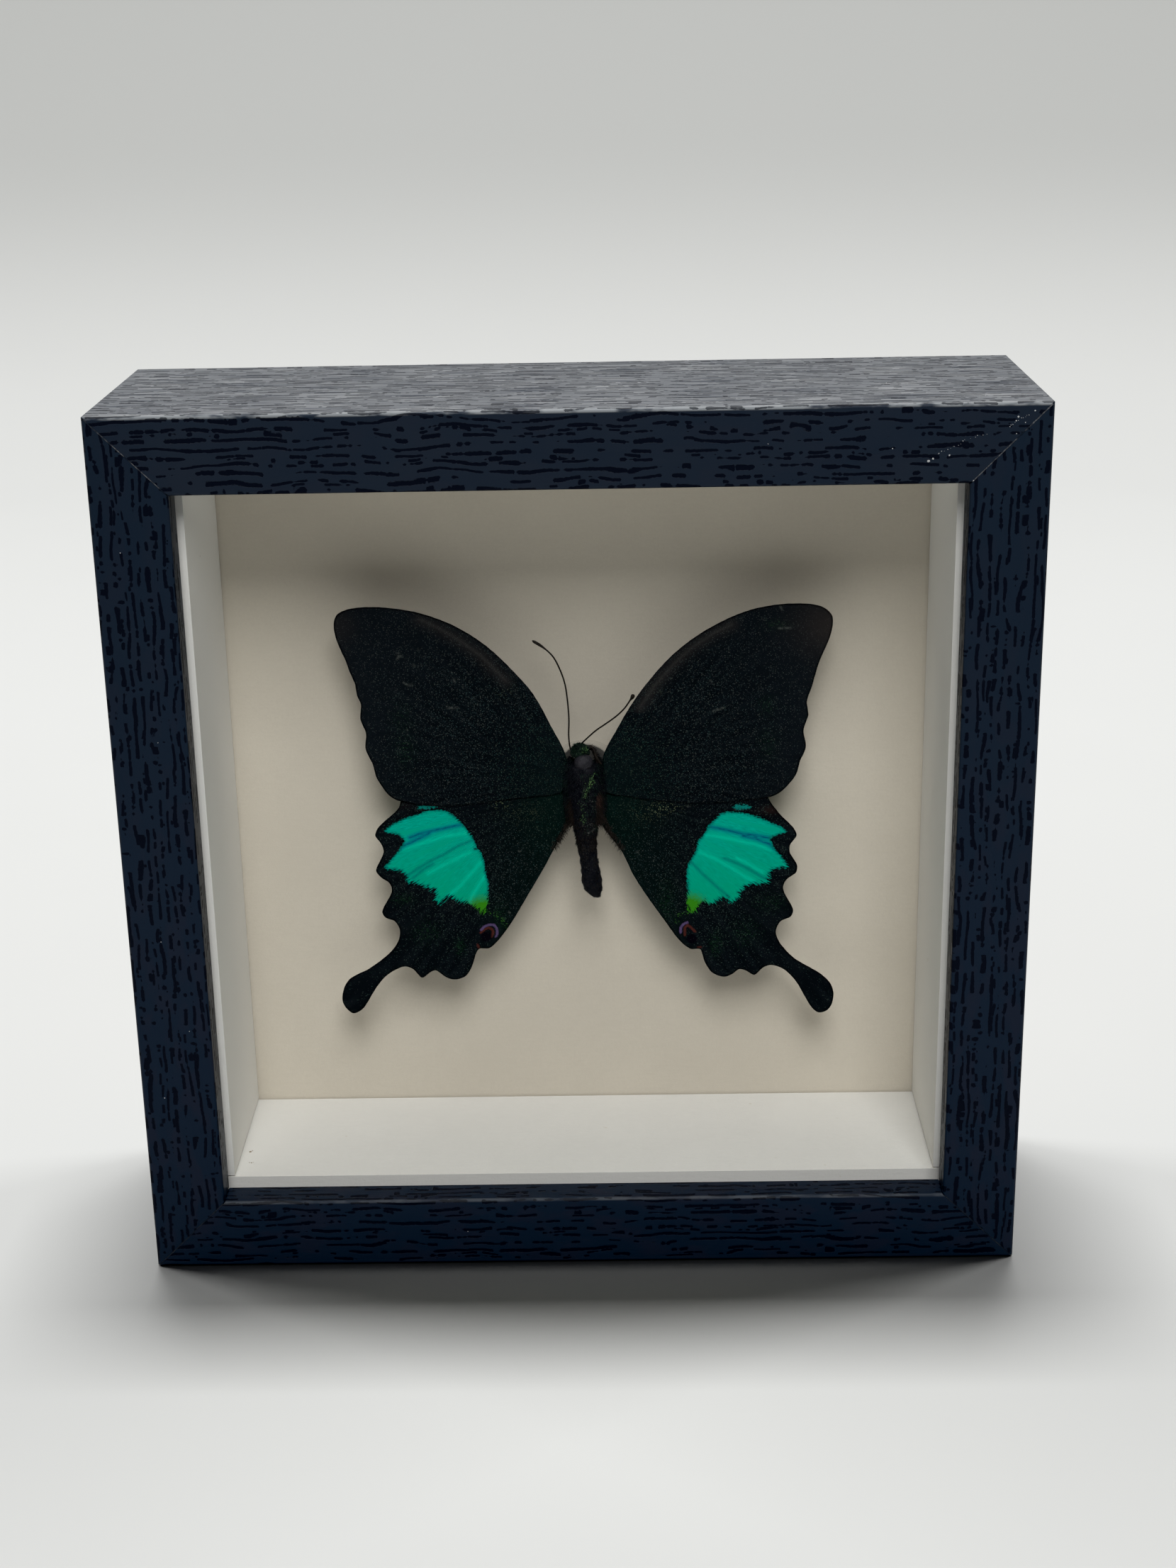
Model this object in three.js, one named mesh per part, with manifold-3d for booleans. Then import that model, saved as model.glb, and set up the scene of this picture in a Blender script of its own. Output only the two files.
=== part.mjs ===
// A swallowtail butterfly mounted in a deep glazed box frame.
// Millimetres, +Z up. The frame stands on its lower rail with the pane facing -Y, and the origin
// is on the ground under the middle of the box.
import * as THREE from 'three';
import { mergeVertices } from 'three/addons/utils/BufferGeometryUtils.js';
import Module from 'manifold-3d';

// Box frame
const SIDE = 150; // outside width and height
const DEPTH = 46; // front face to rear edge
const FACE = 12.6; // width of the moulding seen from the front
const LIP = 5.2; // thickness of the lip in front of the pane
const WALL = 8; // thickness of the side wall behind the lip
const OUTER_ROUND = 0.6;
const INNER_ROUND = 0.5;
const REAR_ROUND = 0.6;
const MITRE_INSET = 0.15; // each cut end stops this short of the diagonal

// What the frame holds, as depths behind the front face
const GAP = 0.3; // clearance between pieces that touch
const PANE_THICKNESS = 2;
const SPACER_WIDTH = 5;
const BOARD_DEPTH = 37.6; // front face of the mount board
const BOARD_THICKNESS = 3;
const BACK_THICKNESS = 2.5;

const FRONT_Y = -DEPTH / 2;
const MIDDLE_Z = SIDE / 2;
const INSET_HALF = SIDE / 2 - WALL - GAP; // half the side of the pane and the boards
const PANE_DEPTH = LIP + GAP;
const SPACER_FRONT = PANE_DEPTH + PANE_THICKNESS + GAP;
const BACK_DEPTH = BOARD_DEPTH + BOARD_THICKNESS + GAP;
const BACK_REAR = BACK_DEPTH + BACK_THICKNESS;

// Metal fittings at the back
const TAB = { width: 6, length: 12, held: 3, thickness: 0.5, spread: 34 };
const HANGER = { half: 21, foot: 15, rise: 12, bow: 1.2, height: 7, thickness: 0.8, z: 127 };
const TOOTH = { pitch: 2, depth: 1.4, count: 11 };
const TACK = { x: 18, shank: 0.6, hole: 0.95, head: 1.6, dome: 0.8, grip: 2 };

// Specimen
const WING_THICKNESS = 0.3;
const HINDWING_REAR_Y = 5.6;
const FOREWING_REAR_Y = HINDWING_REAR_Y - WING_THICKNESS - GAP;
const BODY_Y = 5;
const PAD = { x: 1.3, z: 78.5, radius: 7.2, disc: 1.4, post: 3, foot: 5, footDisc: 1, frontY: 8.3 };

const wasm = await Module();
wasm.setup();

const part = new THREE.Group();

function add(name, geometry, finish) {
  const mesh = new THREE.Mesh(geometry, new THREE.MeshStandardMaterial(finish));
  mesh.name = name;
  part.add(mesh);
  return mesh;
}

function toSolid(geometry) {
  const bare = geometry.clone();
  bare.deleteAttribute('normal');
  bare.deleteAttribute('uv');
  const { attributes, index } = mergeVertices(bare);
  return new wasm.Manifold(new wasm.Mesh({
    numProp: 3,
    vertProperties: attributes.position.array,
    triVerts: Uint32Array.from(index.array),
  }));
}

function toGeometry(solid) {
  const { vertProperties, triVerts } = solid.getMesh();
  const geometry = new THREE.BufferGeometry();
  geometry.setAttribute('position', new THREE.BufferAttribute(vertProperties, 3));
  geometry.setIndex(new THREE.BufferAttribute(triVerts, 1));
  geometry.computeVertexNormals();
  return geometry;
}

function cut(geometry, tools) {
  return toGeometry(tools.reduce((solid, tool) => solid.subtract(toSolid(tool)), toSolid(geometry)));
}

function boxBetween(x0, x1, y0, y1, z0, z1) {
  const box = new THREE.BoxGeometry(x1 - x0, y1 - y0, z1 - z0);
  return box.translate((x0 + x1) / 2, (y0 + y1) / 2, (z0 + z1) / 2);
}

// Closed skin over rings of points, with a pole at each end.
function skin(rings, firstPole, lastPole) {
  const sides = rings[0].length;
  const points = [...rings.flat(), firstPole, lastPole];
  const first = points.length - 2;
  const last = points.length - 1;
  const faces = [];
  for (let side = 0; side < sides; side += 1) {
    const next = (side + 1) % sides;
    faces.push(first, next, side);
    for (let ring = 0; ring < rings.length - 1; ring += 1) {
      const low = ring * sides;
      const high = low + sides;
      faces.push(low + side, low + next, high + side);
      faces.push(low + next, high + next, high + side);
    }
    const end = (rings.length - 1) * sides;
    faces.push(end + side, end + next, last);
  }
  const geometry = new THREE.BufferGeometry().setFromPoints(points);
  geometry.setIndex(faces);
  geometry.computeVertexNormals();
  return geometry;
}

// ---- Moulding ----

// Section of a rail: x runs inwards from the outer side, y runs back from the front face.
function railSection() {
  const section = new THREE.Shape();
  section.moveTo(0, OUTER_ROUND);
  section.absarc(OUTER_ROUND, OUTER_ROUND, OUTER_ROUND, Math.PI, 1.5 * Math.PI, false);
  section.absarc(FACE - INNER_ROUND, INNER_ROUND, INNER_ROUND, 1.5 * Math.PI, 2 * Math.PI, false);
  section.lineTo(FACE, LIP);
  section.lineTo(WALL, LIP);
  section.lineTo(WALL, DEPTH);
  section.absarc(REAR_ROUND, DEPTH - REAR_ROUND, REAR_ROUND, 0.5 * Math.PI, Math.PI, false);
  section.closePath();
  return section;
}

// Lower rail about the frame's centre, each end cut back along the diagonal.
function railGeometry() {
  const rail = new THREE.ExtrudeGeometry(railSection(), {
    depth: 1,
    bevelEnabled: false,
    curveSegments: 4,
  });
  const position = rail.attributes.position;
  for (let i = 0; i < position.count; i += 1) {
    const inwards = position.getX(i);
    const reach = SIDE / 2 - inwards - MITRE_INSET;
    const along = position.getZ(i) > 0.5 ? -reach : reach;
    position.setXYZ(i, along, FRONT_Y + position.getY(i), inwards - SIDE / 2);
  }
  const y = FRONT_Y + BACK_REAR + GAP;
  const slots = [-TAB.spread, TAB.spread].map((x) => boxBetween(
    x - TAB.width / 2 - GAP,
    x + TAB.width / 2 + GAP,
    y - GAP,
    y + TAB.thickness + GAP,
    WALL - TAB.held - GAP - SIDE / 2,
    WALL + 1 - SIDE / 2,
  ));
  return cut(rail, slots);
}

const FOIL = { color: 0x1a1d26, roughness: 0.42, metalness: 0 };
const rail = railGeometry();
['rail_bottom', 'rail_right', 'rail_top', 'rail_left'].forEach((name, turns) => {
  const mesh = add(name, rail, FOIL);
  mesh.rotation.y = -turns * Math.PI / 2;
  mesh.position.z = MIDDLE_Z;
});

// ---- Pane, spacers and boards ----

function sheet(front, thickness) {
  const y = FRONT_Y + front;
  const low = MIDDLE_Z - INSET_HALF;
  return boxBetween(-INSET_HALF, INSET_HALF, y, y + thickness, low, low + 2 * INSET_HALF);
}

add('glass_pane', sheet(PANE_DEPTH, PANE_THICKNESS), { color: 0xe8f0ee, roughness: 0.05 });
add('mount_board', sheet(BOARD_DEPTH, BOARD_THICKNESS), { color: 0xd8d2c4, roughness: 0.85 });

const CARD = { color: 0xdfe0dc, roughness: 0.8 };
const spacerRear = FRONT_Y + BOARD_DEPTH - GAP;
const spacerInner = INSET_HALF - SPACER_WIDTH;
for (const [name, side] of [['spacer_bottom', -1], ['spacer_top', 1]]) {
  const strip = boxBetween(
    -INSET_HALF, INSET_HALF,
    FRONT_Y + SPACER_FRONT, spacerRear,
    -SPACER_WIDTH / 2, SPACER_WIDTH / 2,
  );
  add(name, strip, CARD).position.z = MIDDLE_Z + side * (INSET_HALF - SPACER_WIDTH / 2);
}
for (const [name, side] of [['spacer_left', -1], ['spacer_right', 1]]) {
  const strip = boxBetween(
    -SPACER_WIDTH / 2, SPACER_WIDTH / 2,
    FRONT_Y + SPACER_FRONT, spacerRear,
    MIDDLE_Z - spacerInner + GAP, MIDDLE_Z + spacerInner - GAP,
  );
  add(name, strip, CARD).position.x = side * (INSET_HALF - SPACER_WIDTH / 2);
}

function tackHole(side, radius, y0, y1) {
  const drill = new THREE.CylinderGeometry(radius, radius, y1 - y0, 16);
  return drill.translate(side * TACK.x, (y0 + y1) / 2, HANGER.z);
}

const backRearY = FRONT_Y + BACK_REAR;
const backHoles = [-1, 1].map((side) => (
  tackHole(side, TACK.hole, backRearY - TACK.grip, backRearY + 1)));
add('back_board', cut(sheet(BACK_DEPTH, BACK_THICKNESS), backHoles), { color: 0x8a6a48, roughness: 0.8 });

// ---- Tabs, hanger and tacks ----

const STEEL = { color: 0xb9bcc0, roughness: 0.35, metalness: 1 };

// Flat tongue with a round end. It reaches from its slot over the back board.
function tabGeometry() {
  const half = TAB.width / 2;
  const outline = new THREE.Shape();
  outline.moveTo(-half, 0);
  outline.lineTo(half, 0);
  outline.absarc(0, TAB.length - half, half, 0, Math.PI, false);
  outline.closePath();
  const tab = new THREE.ExtrudeGeometry(outline, {
    depth: TAB.thickness,
    bevelEnabled: false,
    curveSegments: 8,
  });
  tab.rotateX(Math.PI / 2);
  return tab.translate(0, backRearY + GAP + TAB.thickness, WALL - TAB.held - SIDE / 2);
}

const tab = tabGeometry();
for (let i = 0; i < 8; i += 1) {
  const turn = new THREE.Group();
  turn.rotation.y = -Math.floor(i / 2) * Math.PI / 2;
  turn.position.z = MIDDLE_Z;
  const mesh = add(`tab_${i + 1}`, tab, STEEL);
  mesh.position.x = i % 2 ? TAB.spread : -TAB.spread;
  turn.add(mesh);
  part.add(turn);
}

// Strip with flat ends and a raised middle, notched along its lower edge.
function hangerGeometry() {
  const { half, foot, rise, bow, thickness, height } = HANGER;
  const bend = [[-half, 0], [-foot, 0], [-rise, bow], [rise, bow], [foot, 0], [half, 0]];
  const outer = bend.map(([x, y]) => new THREE.Vector2(x, y + thickness)).reverse();
  const section = new THREE.Shape([...bend.map(([x, y]) => new THREE.Vector2(x, y)), ...outer]);
  const strip = new THREE.ExtrudeGeometry(section, { depth: height, bevelEnabled: false });
  strip.translate(0, backRearY + GAP, HANGER.z - height / 2);
  const bottom = HANGER.z - height / 2;
  const notches = [];
  for (let i = 0; i < TOOTH.count; i += 1) {
    const x = (i - (TOOTH.count - 1) / 2) * TOOTH.pitch;
    const notch = new THREE.Shape();
    notch.moveTo(x - TOOTH.pitch / 2 + 0.2, bottom - 1);
    notch.lineTo(x + TOOTH.pitch / 2 - 0.2, bottom - 1);
    notch.lineTo(x, bottom + TOOTH.depth);
    notch.closePath();
    const tool = new THREE.ExtrudeGeometry(notch, { depth: 6, bevelEnabled: false });
    notches.push(tool.rotateX(Math.PI / 2).translate(0, backRearY + 5, 0));
  }
  const holes = [-1, 1].map((side) => tackHole(side, TACK.hole, backRearY, backRearY + 2));
  return cut(strip, [...notches, ...holes]);
}

add('hanger', hangerGeometry(), STEEL);

function tackGeometry() {
  const seat = 2 * GAP + HANGER.thickness;
  const profile = [new THREE.Vector2(0, GAP - TACK.grip), new THREE.Vector2(TACK.shank, GAP - TACK.grip)];
  profile.push(new THREE.Vector2(TACK.shank, seat));
  for (let step = 0; step <= 4; step += 1) {
    const angle = step / 4 * Math.PI / 2;
    profile.push(new THREE.Vector2(TACK.head * Math.cos(angle), seat + TACK.dome * Math.sin(angle)));
  }
  profile[profile.length - 1].x = 0;
  return new THREE.LatheGeometry(profile, 16);
}

const tack = tackGeometry();
for (const [name, side] of [['hanger_tack_left', -1], ['hanger_tack_right', 1]]) {
  add(name, tack, STEEL).position.set(side * TACK.x, backRearY, HANGER.z);
}

// ---- Mounting pad ----

function padGeometry() {
  const rear = FRONT_Y + BOARD_DEPTH - GAP;
  const profile = [
    [0, PAD.frontY],
    [PAD.radius - 0.4, PAD.frontY],
    [PAD.radius, PAD.frontY + 0.4],
    [PAD.radius, PAD.frontY + PAD.disc],
    [PAD.post, PAD.frontY + PAD.disc],
    [PAD.post, rear - PAD.footDisc],
    [PAD.foot, rear - PAD.footDisc],
    [PAD.foot, rear],
    [0, rear],
  ];
  return new THREE.LatheGeometry(profile.map(([r, y]) => new THREE.Vector2(r, y)), 32);
}

add('mounting_pad', padGeometry(), { color: 0xeef2f2, roughness: 0.1 }).position.set(PAD.x, 0, PAD.z);

// ---- Body ----

// Height, sideways centre, half width, half depth and set-back of the body's cross-sections, from the
// tip of the abdomen to the crown of the head.
const BODY_SECTIONS = [
  [57.8, 3, 0.6, 0.5, 0],
  [58.7, 2.6, 1.2, 1, 0],
  [60, 2.3, 1.65, 1.5, 0],
  [62, 2.1, 1.6, 1.6, 0],
  [65, 1.75, 1.5, 1.6, 0],
  [68, 1.4, 1.65, 1.8, 0],
  [70.5, 1.3, 1.9, 2, 0],
  [72.5, 1.2, 2.1, 2.2, 0],
  [75, 1.2, 2.5, 2.6, 0],
  [78, 1.15, 2.9, 2.9, 0],
  [80.5, 1.1, 2.8, 2.8, 0],
  [82.3, 1, 2.2, 2.3, -0.2],
  [83.6, 0.9, 1.4, 1.6, -0.3],
  [84.3, 0.75, 1.2, 1.3, -0.3],
  [85, 0.6, 1.5, 1.5, -0.3],
  [85.8, 0.5, 1.4, 1.4, -0.3],
  [86.4, 0.5, 0.8, 0.8, -0.3],
];
const BODY_SIDES = 16;
const BODY_TIP = new THREE.Vector3(3.2, BODY_Y, 57.4);
const BODY_CROWN = new THREE.Vector3(0.5, BODY_Y - 0.3, 86.6);

function bodyGeometry() {
  const rings = BODY_SECTIONS.map(([z, x, halfWidth, halfDepth, back]) => {
    const ring = [];
    for (let i = 0; i < BODY_SIDES; i += 1) {
      const angle = i / BODY_SIDES * 2 * Math.PI;
      const y = BODY_Y + back + halfDepth * Math.sin(angle);
      ring.push(new THREE.Vector3(x + halfWidth * Math.cos(angle), y, z));
    }
    return ring;
  });
  return skin(rings, BODY_TIP, BODY_CROWN);
}

add('butterfly_body', bodyGeometry(), { color: 0x2a2420, roughness: 0.9 });

// ---- Wings ----

// Outlines as [x, z] points on a smooth closed curve, starting at the root of the leading edge.
const FOREWING_LEFT = [
  [-1.8, 83.8], [-4.25, 89.5], [-7.5, 95.9], [-11.25, 100.5], [-15.25, 104.5], [-20.75, 108.2],
  [-26.5, 110.5], [-32, 111.5], [-37, 111.6], [-40.4, 110.6], [-41.2, 109], [-40.9, 106],
  [-39.6, 102.4], [-38.9, 100.1], [-38.1, 98], [-37.9, 96], [-37.3, 94.3], [-37.5, 91.6],
  [-36.65, 89], [-36.9, 86.2], [-35.8, 83.3], [-35.3, 80.9], [-34.3, 79], [-33.2, 77.4],
  [-31.6, 76.4], [-27, 75.4], [-21, 75.3], [-14, 76.1], [-7, 76.8], [-2.6, 77.6], [-2.3, 80],
];
const FOREWING_RIGHT = [
  [4.5, 83.9], [6.75, 88.5], [9.6, 93.5], [13.25, 98.5], [17.75, 103.25], [23, 107], [29, 109.8],
  [34, 110.95], [39, 111.15], [42.6, 110.45], [44.15, 108.8], [44, 106], [43, 103.2], [42.1, 101],
  [41.4, 98.6], [40.85, 96.4], [40, 93.5], [40.3, 91.3], [39.5, 88.5], [39.95, 85.4], [39, 82.8],
  [38.4, 80.4], [37, 78.4], [35.3, 76.8], [33.3, 76], [28, 75.4], [21, 75.1], [14, 75.7],
  [8.5, 76.6], [4.9, 77.5], [4.8, 80],
];
const HINDWING_LEFT = [
  [-2.3, 78.6], [-7, 80.2], [-15, 80.8], [-23, 80], [-28.5, 78.6], [-31, 76.8], [-31.6, 75],
  [-33.1, 73.4], [-35.2, 71.5], [-36.05, 69.7], [-35.2, 68.4], [-34.7, 66.6], [-35.6, 64.6],
  [-36.2, 63], [-35.2, 61.6], [-34, 60.7], [-33.55, 59.2], [-34.5, 57.2], [-35.5, 55.1],
  [-34.8, 53.85], [-33.4, 53.3], [-32.5, 51.3], [-33.1, 48.9], [-35, 46.6], [-38.75, 43.8],
  [-42, 42], [-43.3, 39.75], [-43.45, 37.25], [-41.8, 35.2], [-39.9, 36.1], [-38.1, 38.9],
  [-35.5, 42.4], [-32, 44.35], [-30.3, 43.7], [-28.9, 42.1], [-27.3, 43.2], [-26.3, 43.5],
  [-24.9, 42.4], [-23.1, 41.65], [-20.9, 42.4], [-19.6, 44.6], [-18.9, 46.8], [-18.2, 47.7],
  [-16.6, 47.7], [-14.9, 49.2], [-12, 53.25], [-9.55, 57.5], [-6.2, 63.3], [-3.7, 68.05],
  [-2.2, 70.6], [-1.6, 72], [-1.9, 75],
];
const HINDWING_RIGHT = [
  [4.8, 78.6], [9, 80], [17, 80.6], [25, 79.8], [30.5, 78.4], [33, 76.8], [34, 74.9],
  [36, 72.25], [38.1, 70], [38.6, 68.6], [37.5, 67], [37.5, 65.3], [38.7, 63.2], [38.6, 61.6],
  [37.1, 60.5], [36.3, 58.8], [37, 56.8], [38.15, 54.5], [37.7, 53.1], [36, 52.3], [35.1, 50.2],
  [36.2, 47.5], [38.75, 44.75], [43, 42], [45.2, 39.7], [45.65, 37.2], [44.8, 34.8], [43, 34.15],
  [41.4, 35.7], [39.1, 40], [36.5, 42.9], [34.1, 43.7], [32.6, 43], [31.3, 41.8], [29.9, 42.6],
  [28.6, 43], [27.4, 42.1], [25.9, 41.5], [23.6, 42.4], [22.2, 44.8], [21.5, 47], [19.9, 47],
  [18, 48.5], [15, 52.9], [12, 57.5], [9.5, 61.8], [7.6, 66.1], [5.1, 69.7], [4, 71.6], [4.2, 75],
];

function wingGeometry(points, rearY) {
  const curve = new THREE.CatmullRomCurve3(points.map(([x, z]) => new THREE.Vector3(x, z, 0)), true);
  const outline = curve.getPoints(2 * points.length).slice(0, -1);
  const shape = new THREE.Shape(outline.map(({ x, y }) => new THREE.Vector2(x, y)));
  const wing = new THREE.ExtrudeGeometry(shape, { depth: WING_THICKNESS, bevelEnabled: false });
  return wing.rotateX(Math.PI / 2).translate(0, rearY, 0);
}

const FORE = { color: 0x11161a, roughness: 0.8 };
const HIND = { color: 0x0c6f5c, roughness: 0.6 };
add('forewing_left', wingGeometry(FOREWING_LEFT, FOREWING_REAR_Y), FORE);
add('forewing_right', wingGeometry(FOREWING_RIGHT, FOREWING_REAR_Y), FORE);
add('hindwing_left', wingGeometry(HINDWING_LEFT, HINDWING_REAR_Y), HIND);
add('hindwing_right', wingGeometry(HINDWING_RIGHT, HINDWING_REAR_Y), HIND);

// ---- Antennae ----

// Centre lines from the head to the club.
const ANTENNA_LEFT = [
  [-1.35, 4.6, 86.2], [-1.4, 4.4, 88.2], [-1.25, 4.3, 91.2], [-1.4, 4.3, 94.2], [-1.8, 4.4, 97.5],
  [-2.6, 4.5, 100.1], [-3.8, 4.6, 102.5], [-5.5, 4.6, 104.2], [-7.3, 4.6, 105.4],
];
const ANTENNA_RIGHT = [
  [1.2, 4.6, 87.1], [2.2, 4.4, 88], [3.5, 4.2, 89.2], [5, 4, 90.3], [7, 3.9, 91.8], [8.4, 3.8, 93.2],
  [9.4, 3.6, 94.7], [9.8, 3.2, 95.4], [9.9, 2.5, 95.9],
];
const ANTENNA = { shaft: 0.16, club: 0.32, clubShare: 0.1, steps: 24, sides: 8 };

function antennaGeometry(points) {
  const curve = new THREE.CatmullRomCurve3(points.map((point) => new THREE.Vector3(...point)));
  const side = new THREE.Vector3(0, 1, 0);
  const rings = [];
  for (let step = 0; step <= ANTENNA.steps; step += 1) {
    const share = step / ANTENNA.steps;
    const centre = curve.getPointAt(share);
    const across = new THREE.Vector3().crossVectors(curve.getTangentAt(share), side).normalize();
    const over = new THREE.Vector3().crossVectors(curve.getTangentAt(share), across).normalize();
    const swell = THREE.MathUtils.smoothstep(share, 1 - ANTENNA.clubShare, 1);
    const radius = THREE.MathUtils.lerp(ANTENNA.shaft, ANTENNA.club, swell);
    const ring = [];
    for (let i = 0; i < ANTENNA.sides; i += 1) {
      const angle = i / ANTENNA.sides * 2 * Math.PI;
      ring.push(centre.clone()
        .addScaledVector(across, radius * Math.cos(angle))
        .addScaledVector(over, radius * Math.sin(angle)));
    }
    rings.push(ring);
  }
  const tangent = curve.getTangentAt(1);
  const root = curve.getPointAt(0);
  const tip = curve.getPointAt(1).addScaledVector(tangent, ANTENNA.club / 2);
  return skin(rings, root, tip);
}

const HORN = { color: 0x2b2418, roughness: 0.5 };
add('antenna_left', antennaGeometry(ANTENNA_LEFT), HORN);
add('antenna_right', antennaGeometry(ANTENNA_RIGHT), HORN);

export default part;
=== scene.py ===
"""A swallowtail butterfly mounted in a deep square box frame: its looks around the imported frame."""
import math

import bmesh
import bpy
import numpy as np
from mathutils import Euler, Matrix, Vector, geometry, noise


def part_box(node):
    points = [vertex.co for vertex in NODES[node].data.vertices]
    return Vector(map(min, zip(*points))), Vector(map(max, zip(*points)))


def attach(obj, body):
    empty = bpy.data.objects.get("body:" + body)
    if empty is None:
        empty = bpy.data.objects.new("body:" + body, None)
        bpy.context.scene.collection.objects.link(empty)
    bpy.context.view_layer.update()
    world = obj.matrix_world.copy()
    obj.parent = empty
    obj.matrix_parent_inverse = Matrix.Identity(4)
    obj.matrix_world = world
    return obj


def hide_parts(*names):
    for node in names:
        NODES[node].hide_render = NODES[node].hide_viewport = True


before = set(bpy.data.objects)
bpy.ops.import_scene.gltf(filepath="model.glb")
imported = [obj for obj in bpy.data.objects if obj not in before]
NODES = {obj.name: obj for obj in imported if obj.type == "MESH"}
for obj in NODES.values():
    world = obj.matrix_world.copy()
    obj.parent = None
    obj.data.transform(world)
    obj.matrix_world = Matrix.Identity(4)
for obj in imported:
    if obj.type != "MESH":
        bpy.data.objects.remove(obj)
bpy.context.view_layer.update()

MM = 0.001               # shapes are worked out in millimetres and written in metres
BODY = "root"
SIDES = ("left", "right")


# ---------------------------------------------------------------- shader helper

class Shader:
    """Builds one node material. Each method adds a node and returns the socket that it gives."""

    def __init__(self, name):
        self.material = bpy.data.materials.new(name)
        self.material.use_nodes = True
        self.tree = self.material.node_tree
        self.tree.nodes.clear()

    def node(self, kind, inputs=None, **settings):
        made = self.tree.nodes.new("ShaderNode" + kind)
        for key, value in settings.items():
            setattr(made, key, value)
        for key, value in (inputs or {}).items():
            self.feed(made.inputs[key], value)
        return made

    def feed(self, socket, value):
        if isinstance(value, bpy.types.NodeSocket):
            self.tree.links.new(value, socket)
        elif isinstance(value, (tuple, list)) and len(value) == 3 and socket.type == "RGBA":
            socket.default_value = (*value, 1)
        else:
            socket.default_value = value

    def math(self, operation, first, second=0.0):
        return self.node("Math", {0: first, 1: second}, operation=operation).outputs[0]

    def add(self, first, second):
        return self.math("ADD", first, second)

    def times(self, first, second):
        return self.math("MULTIPLY", first, second)

    def most(self, first, second):
        return self.math("MAXIMUM", first, second)

    def less(self, value):
        """One minus a value."""
        return self.math("SUBTRACT", 1.0, value)

    def step(self, value, low, high):
        """A smooth step from 0 at low to 1 at high, which may be the lower number."""
        return self.node("MapRange", {"Value": value, "From Min": low, "From Max": high},
                         interpolation_type="SMOOTHSTEP").outputs[0]

    def span(self, value, low, high):
        """A value from 0 to 1 brought between low and high."""
        return self.node("MapRange", {"Value": value, "To Min": low, "To Max": high}).outputs[0]

    def mix(self, share, first, second):
        return self.node("Mix", {0: share, 6: first, 7: second}, data_type="RGBA").outputs[2]

    def layers(self, color, *coats):
        """A colour with more of them laid over it in turn, each given as (share, colour)."""
        for share, over in coats:
            color = self.mix(share, color, over)
        return color

    def place(self):
        """The point in the frame of the object, in millimetres."""
        here = self.node("TexCoord").outputs["Object"]
        return self.node("VectorMath", {0: here, "Scale": 1 / MM}, operation="SCALE").outputs[0]

    def split(self, vector):
        return self.node("SeparateXYZ", {0: vector}).outputs

    def join(self, x, y, z):
        return self.node("CombineXYZ", {0: x, 1: y, 2: z}).outputs[0]

    def stretch(self, vector, sizes):
        """The vector divided by a size in millimetres along each axis."""
        scale = tuple(1 / size for size in sizes)
        return self.node("VectorMath", {0: vector, 1: scale}, operation="MULTIPLY").outputs[0]

    def noise(self, vector, size=1.0, detail=2.0, roughness=0.5, bend=0.0):
        return self.node("TexNoise", {"Vector": vector, "Scale": 1 / size, "Detail": detail,
                                      "Roughness": roughness, "Distortion": bend}).outputs[0]

    def cells(self, vector, size):
        """A cell pattern: the distance from the cell's middle, and the cell's own random colour."""
        made = self.node("TexVoronoi", {"Vector": vector, "Scale": 1 / size})
        return made.outputs["Distance"], made.outputs["Color"]

    def value_of(self, name):
        return self.node("Attribute", attribute_name=name).outputs["Fac"]

    def bump(self, height, millimetres):
        inputs = {"Height": height, "Distance": millimetres * MM, "Strength": 1.0}
        return self.node("Bump", inputs).outputs[0]

    def finish(self, color, roughness, normal=None, **extra):
        """Ends the material in one Principled shader. Extra names use _ for a space."""
        inputs = {"Base Color": color, "Roughness": roughness}
        inputs.update({key.replace("_", " "): value for key, value in extra.items()})
        if normal is not None:
            inputs["Normal"] = normal
        surface = self.node("BsdfPrincipled", inputs)
        return self.end(surface.outputs[0])

    def end(self, surface):
        output = self.node("OutputMaterial")
        self.tree.links.new(surface, output.inputs["Surface"])
        return self.material


def paint(piece, material):
    """Gives a piece one material in place of those it has."""
    piece.data.materials.clear()
    piece.data.materials.append(material)


def grainy_material(name, size, detail, dark, light, roughness, depth, level=0.5):
    """A plain material with a fine grain between two colours."""
    made = Shader(name)
    grain = made.noise(made.place(), size, detail)
    color = made.mix(grain, dark, light)
    return made.finish(color, roughness, made.bump(grain, depth), Specular_IOR_Level=level)


# ---------------------------------------------------------------- mesh helpers

def make_piece(name, points, faces, material, slot, replaced=(), smooth=True):
    """A mesh from points in millimetres, riding on the frame with its material. The slot given is not used.
    """
    mesh = bpy.data.meshes.new(name)
    scaled = np.asarray(points, float) * MM
    mesh.from_pydata(scaled.tolist(), [], [tuple(int(i) for i in face) for face in faces])
    mesh.validate()
    mesh.polygons.foreach_set("use_smooth", [smooth] * len(mesh.polygons))
    mesh.update()
    piece = bpy.data.objects.new(name, mesh)
    bpy.context.scene.collection.objects.link(piece)
    paint(piece, material)
    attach(piece, BODY)
    if replaced:
        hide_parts(*replaced)
    return piece


def store(piece, name, values):
    """Keeps one number for each vertex as a named attribute that a material can read."""
    attribute = piece.data.attributes.new(name, "FLOAT", "POINT")
    attribute.data.foreach_set("value", np.asarray(values, np.float32))


def merge(parts):
    """Joins several (points, faces) pairs in one."""
    points, faces = [], []
    for more_points, more_faces in parts:
        start = len(points)
        points += [tuple(p) for p in more_points]
        faces += [tuple(start + i for i in face) for face in more_faces]
    return points, faces


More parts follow.
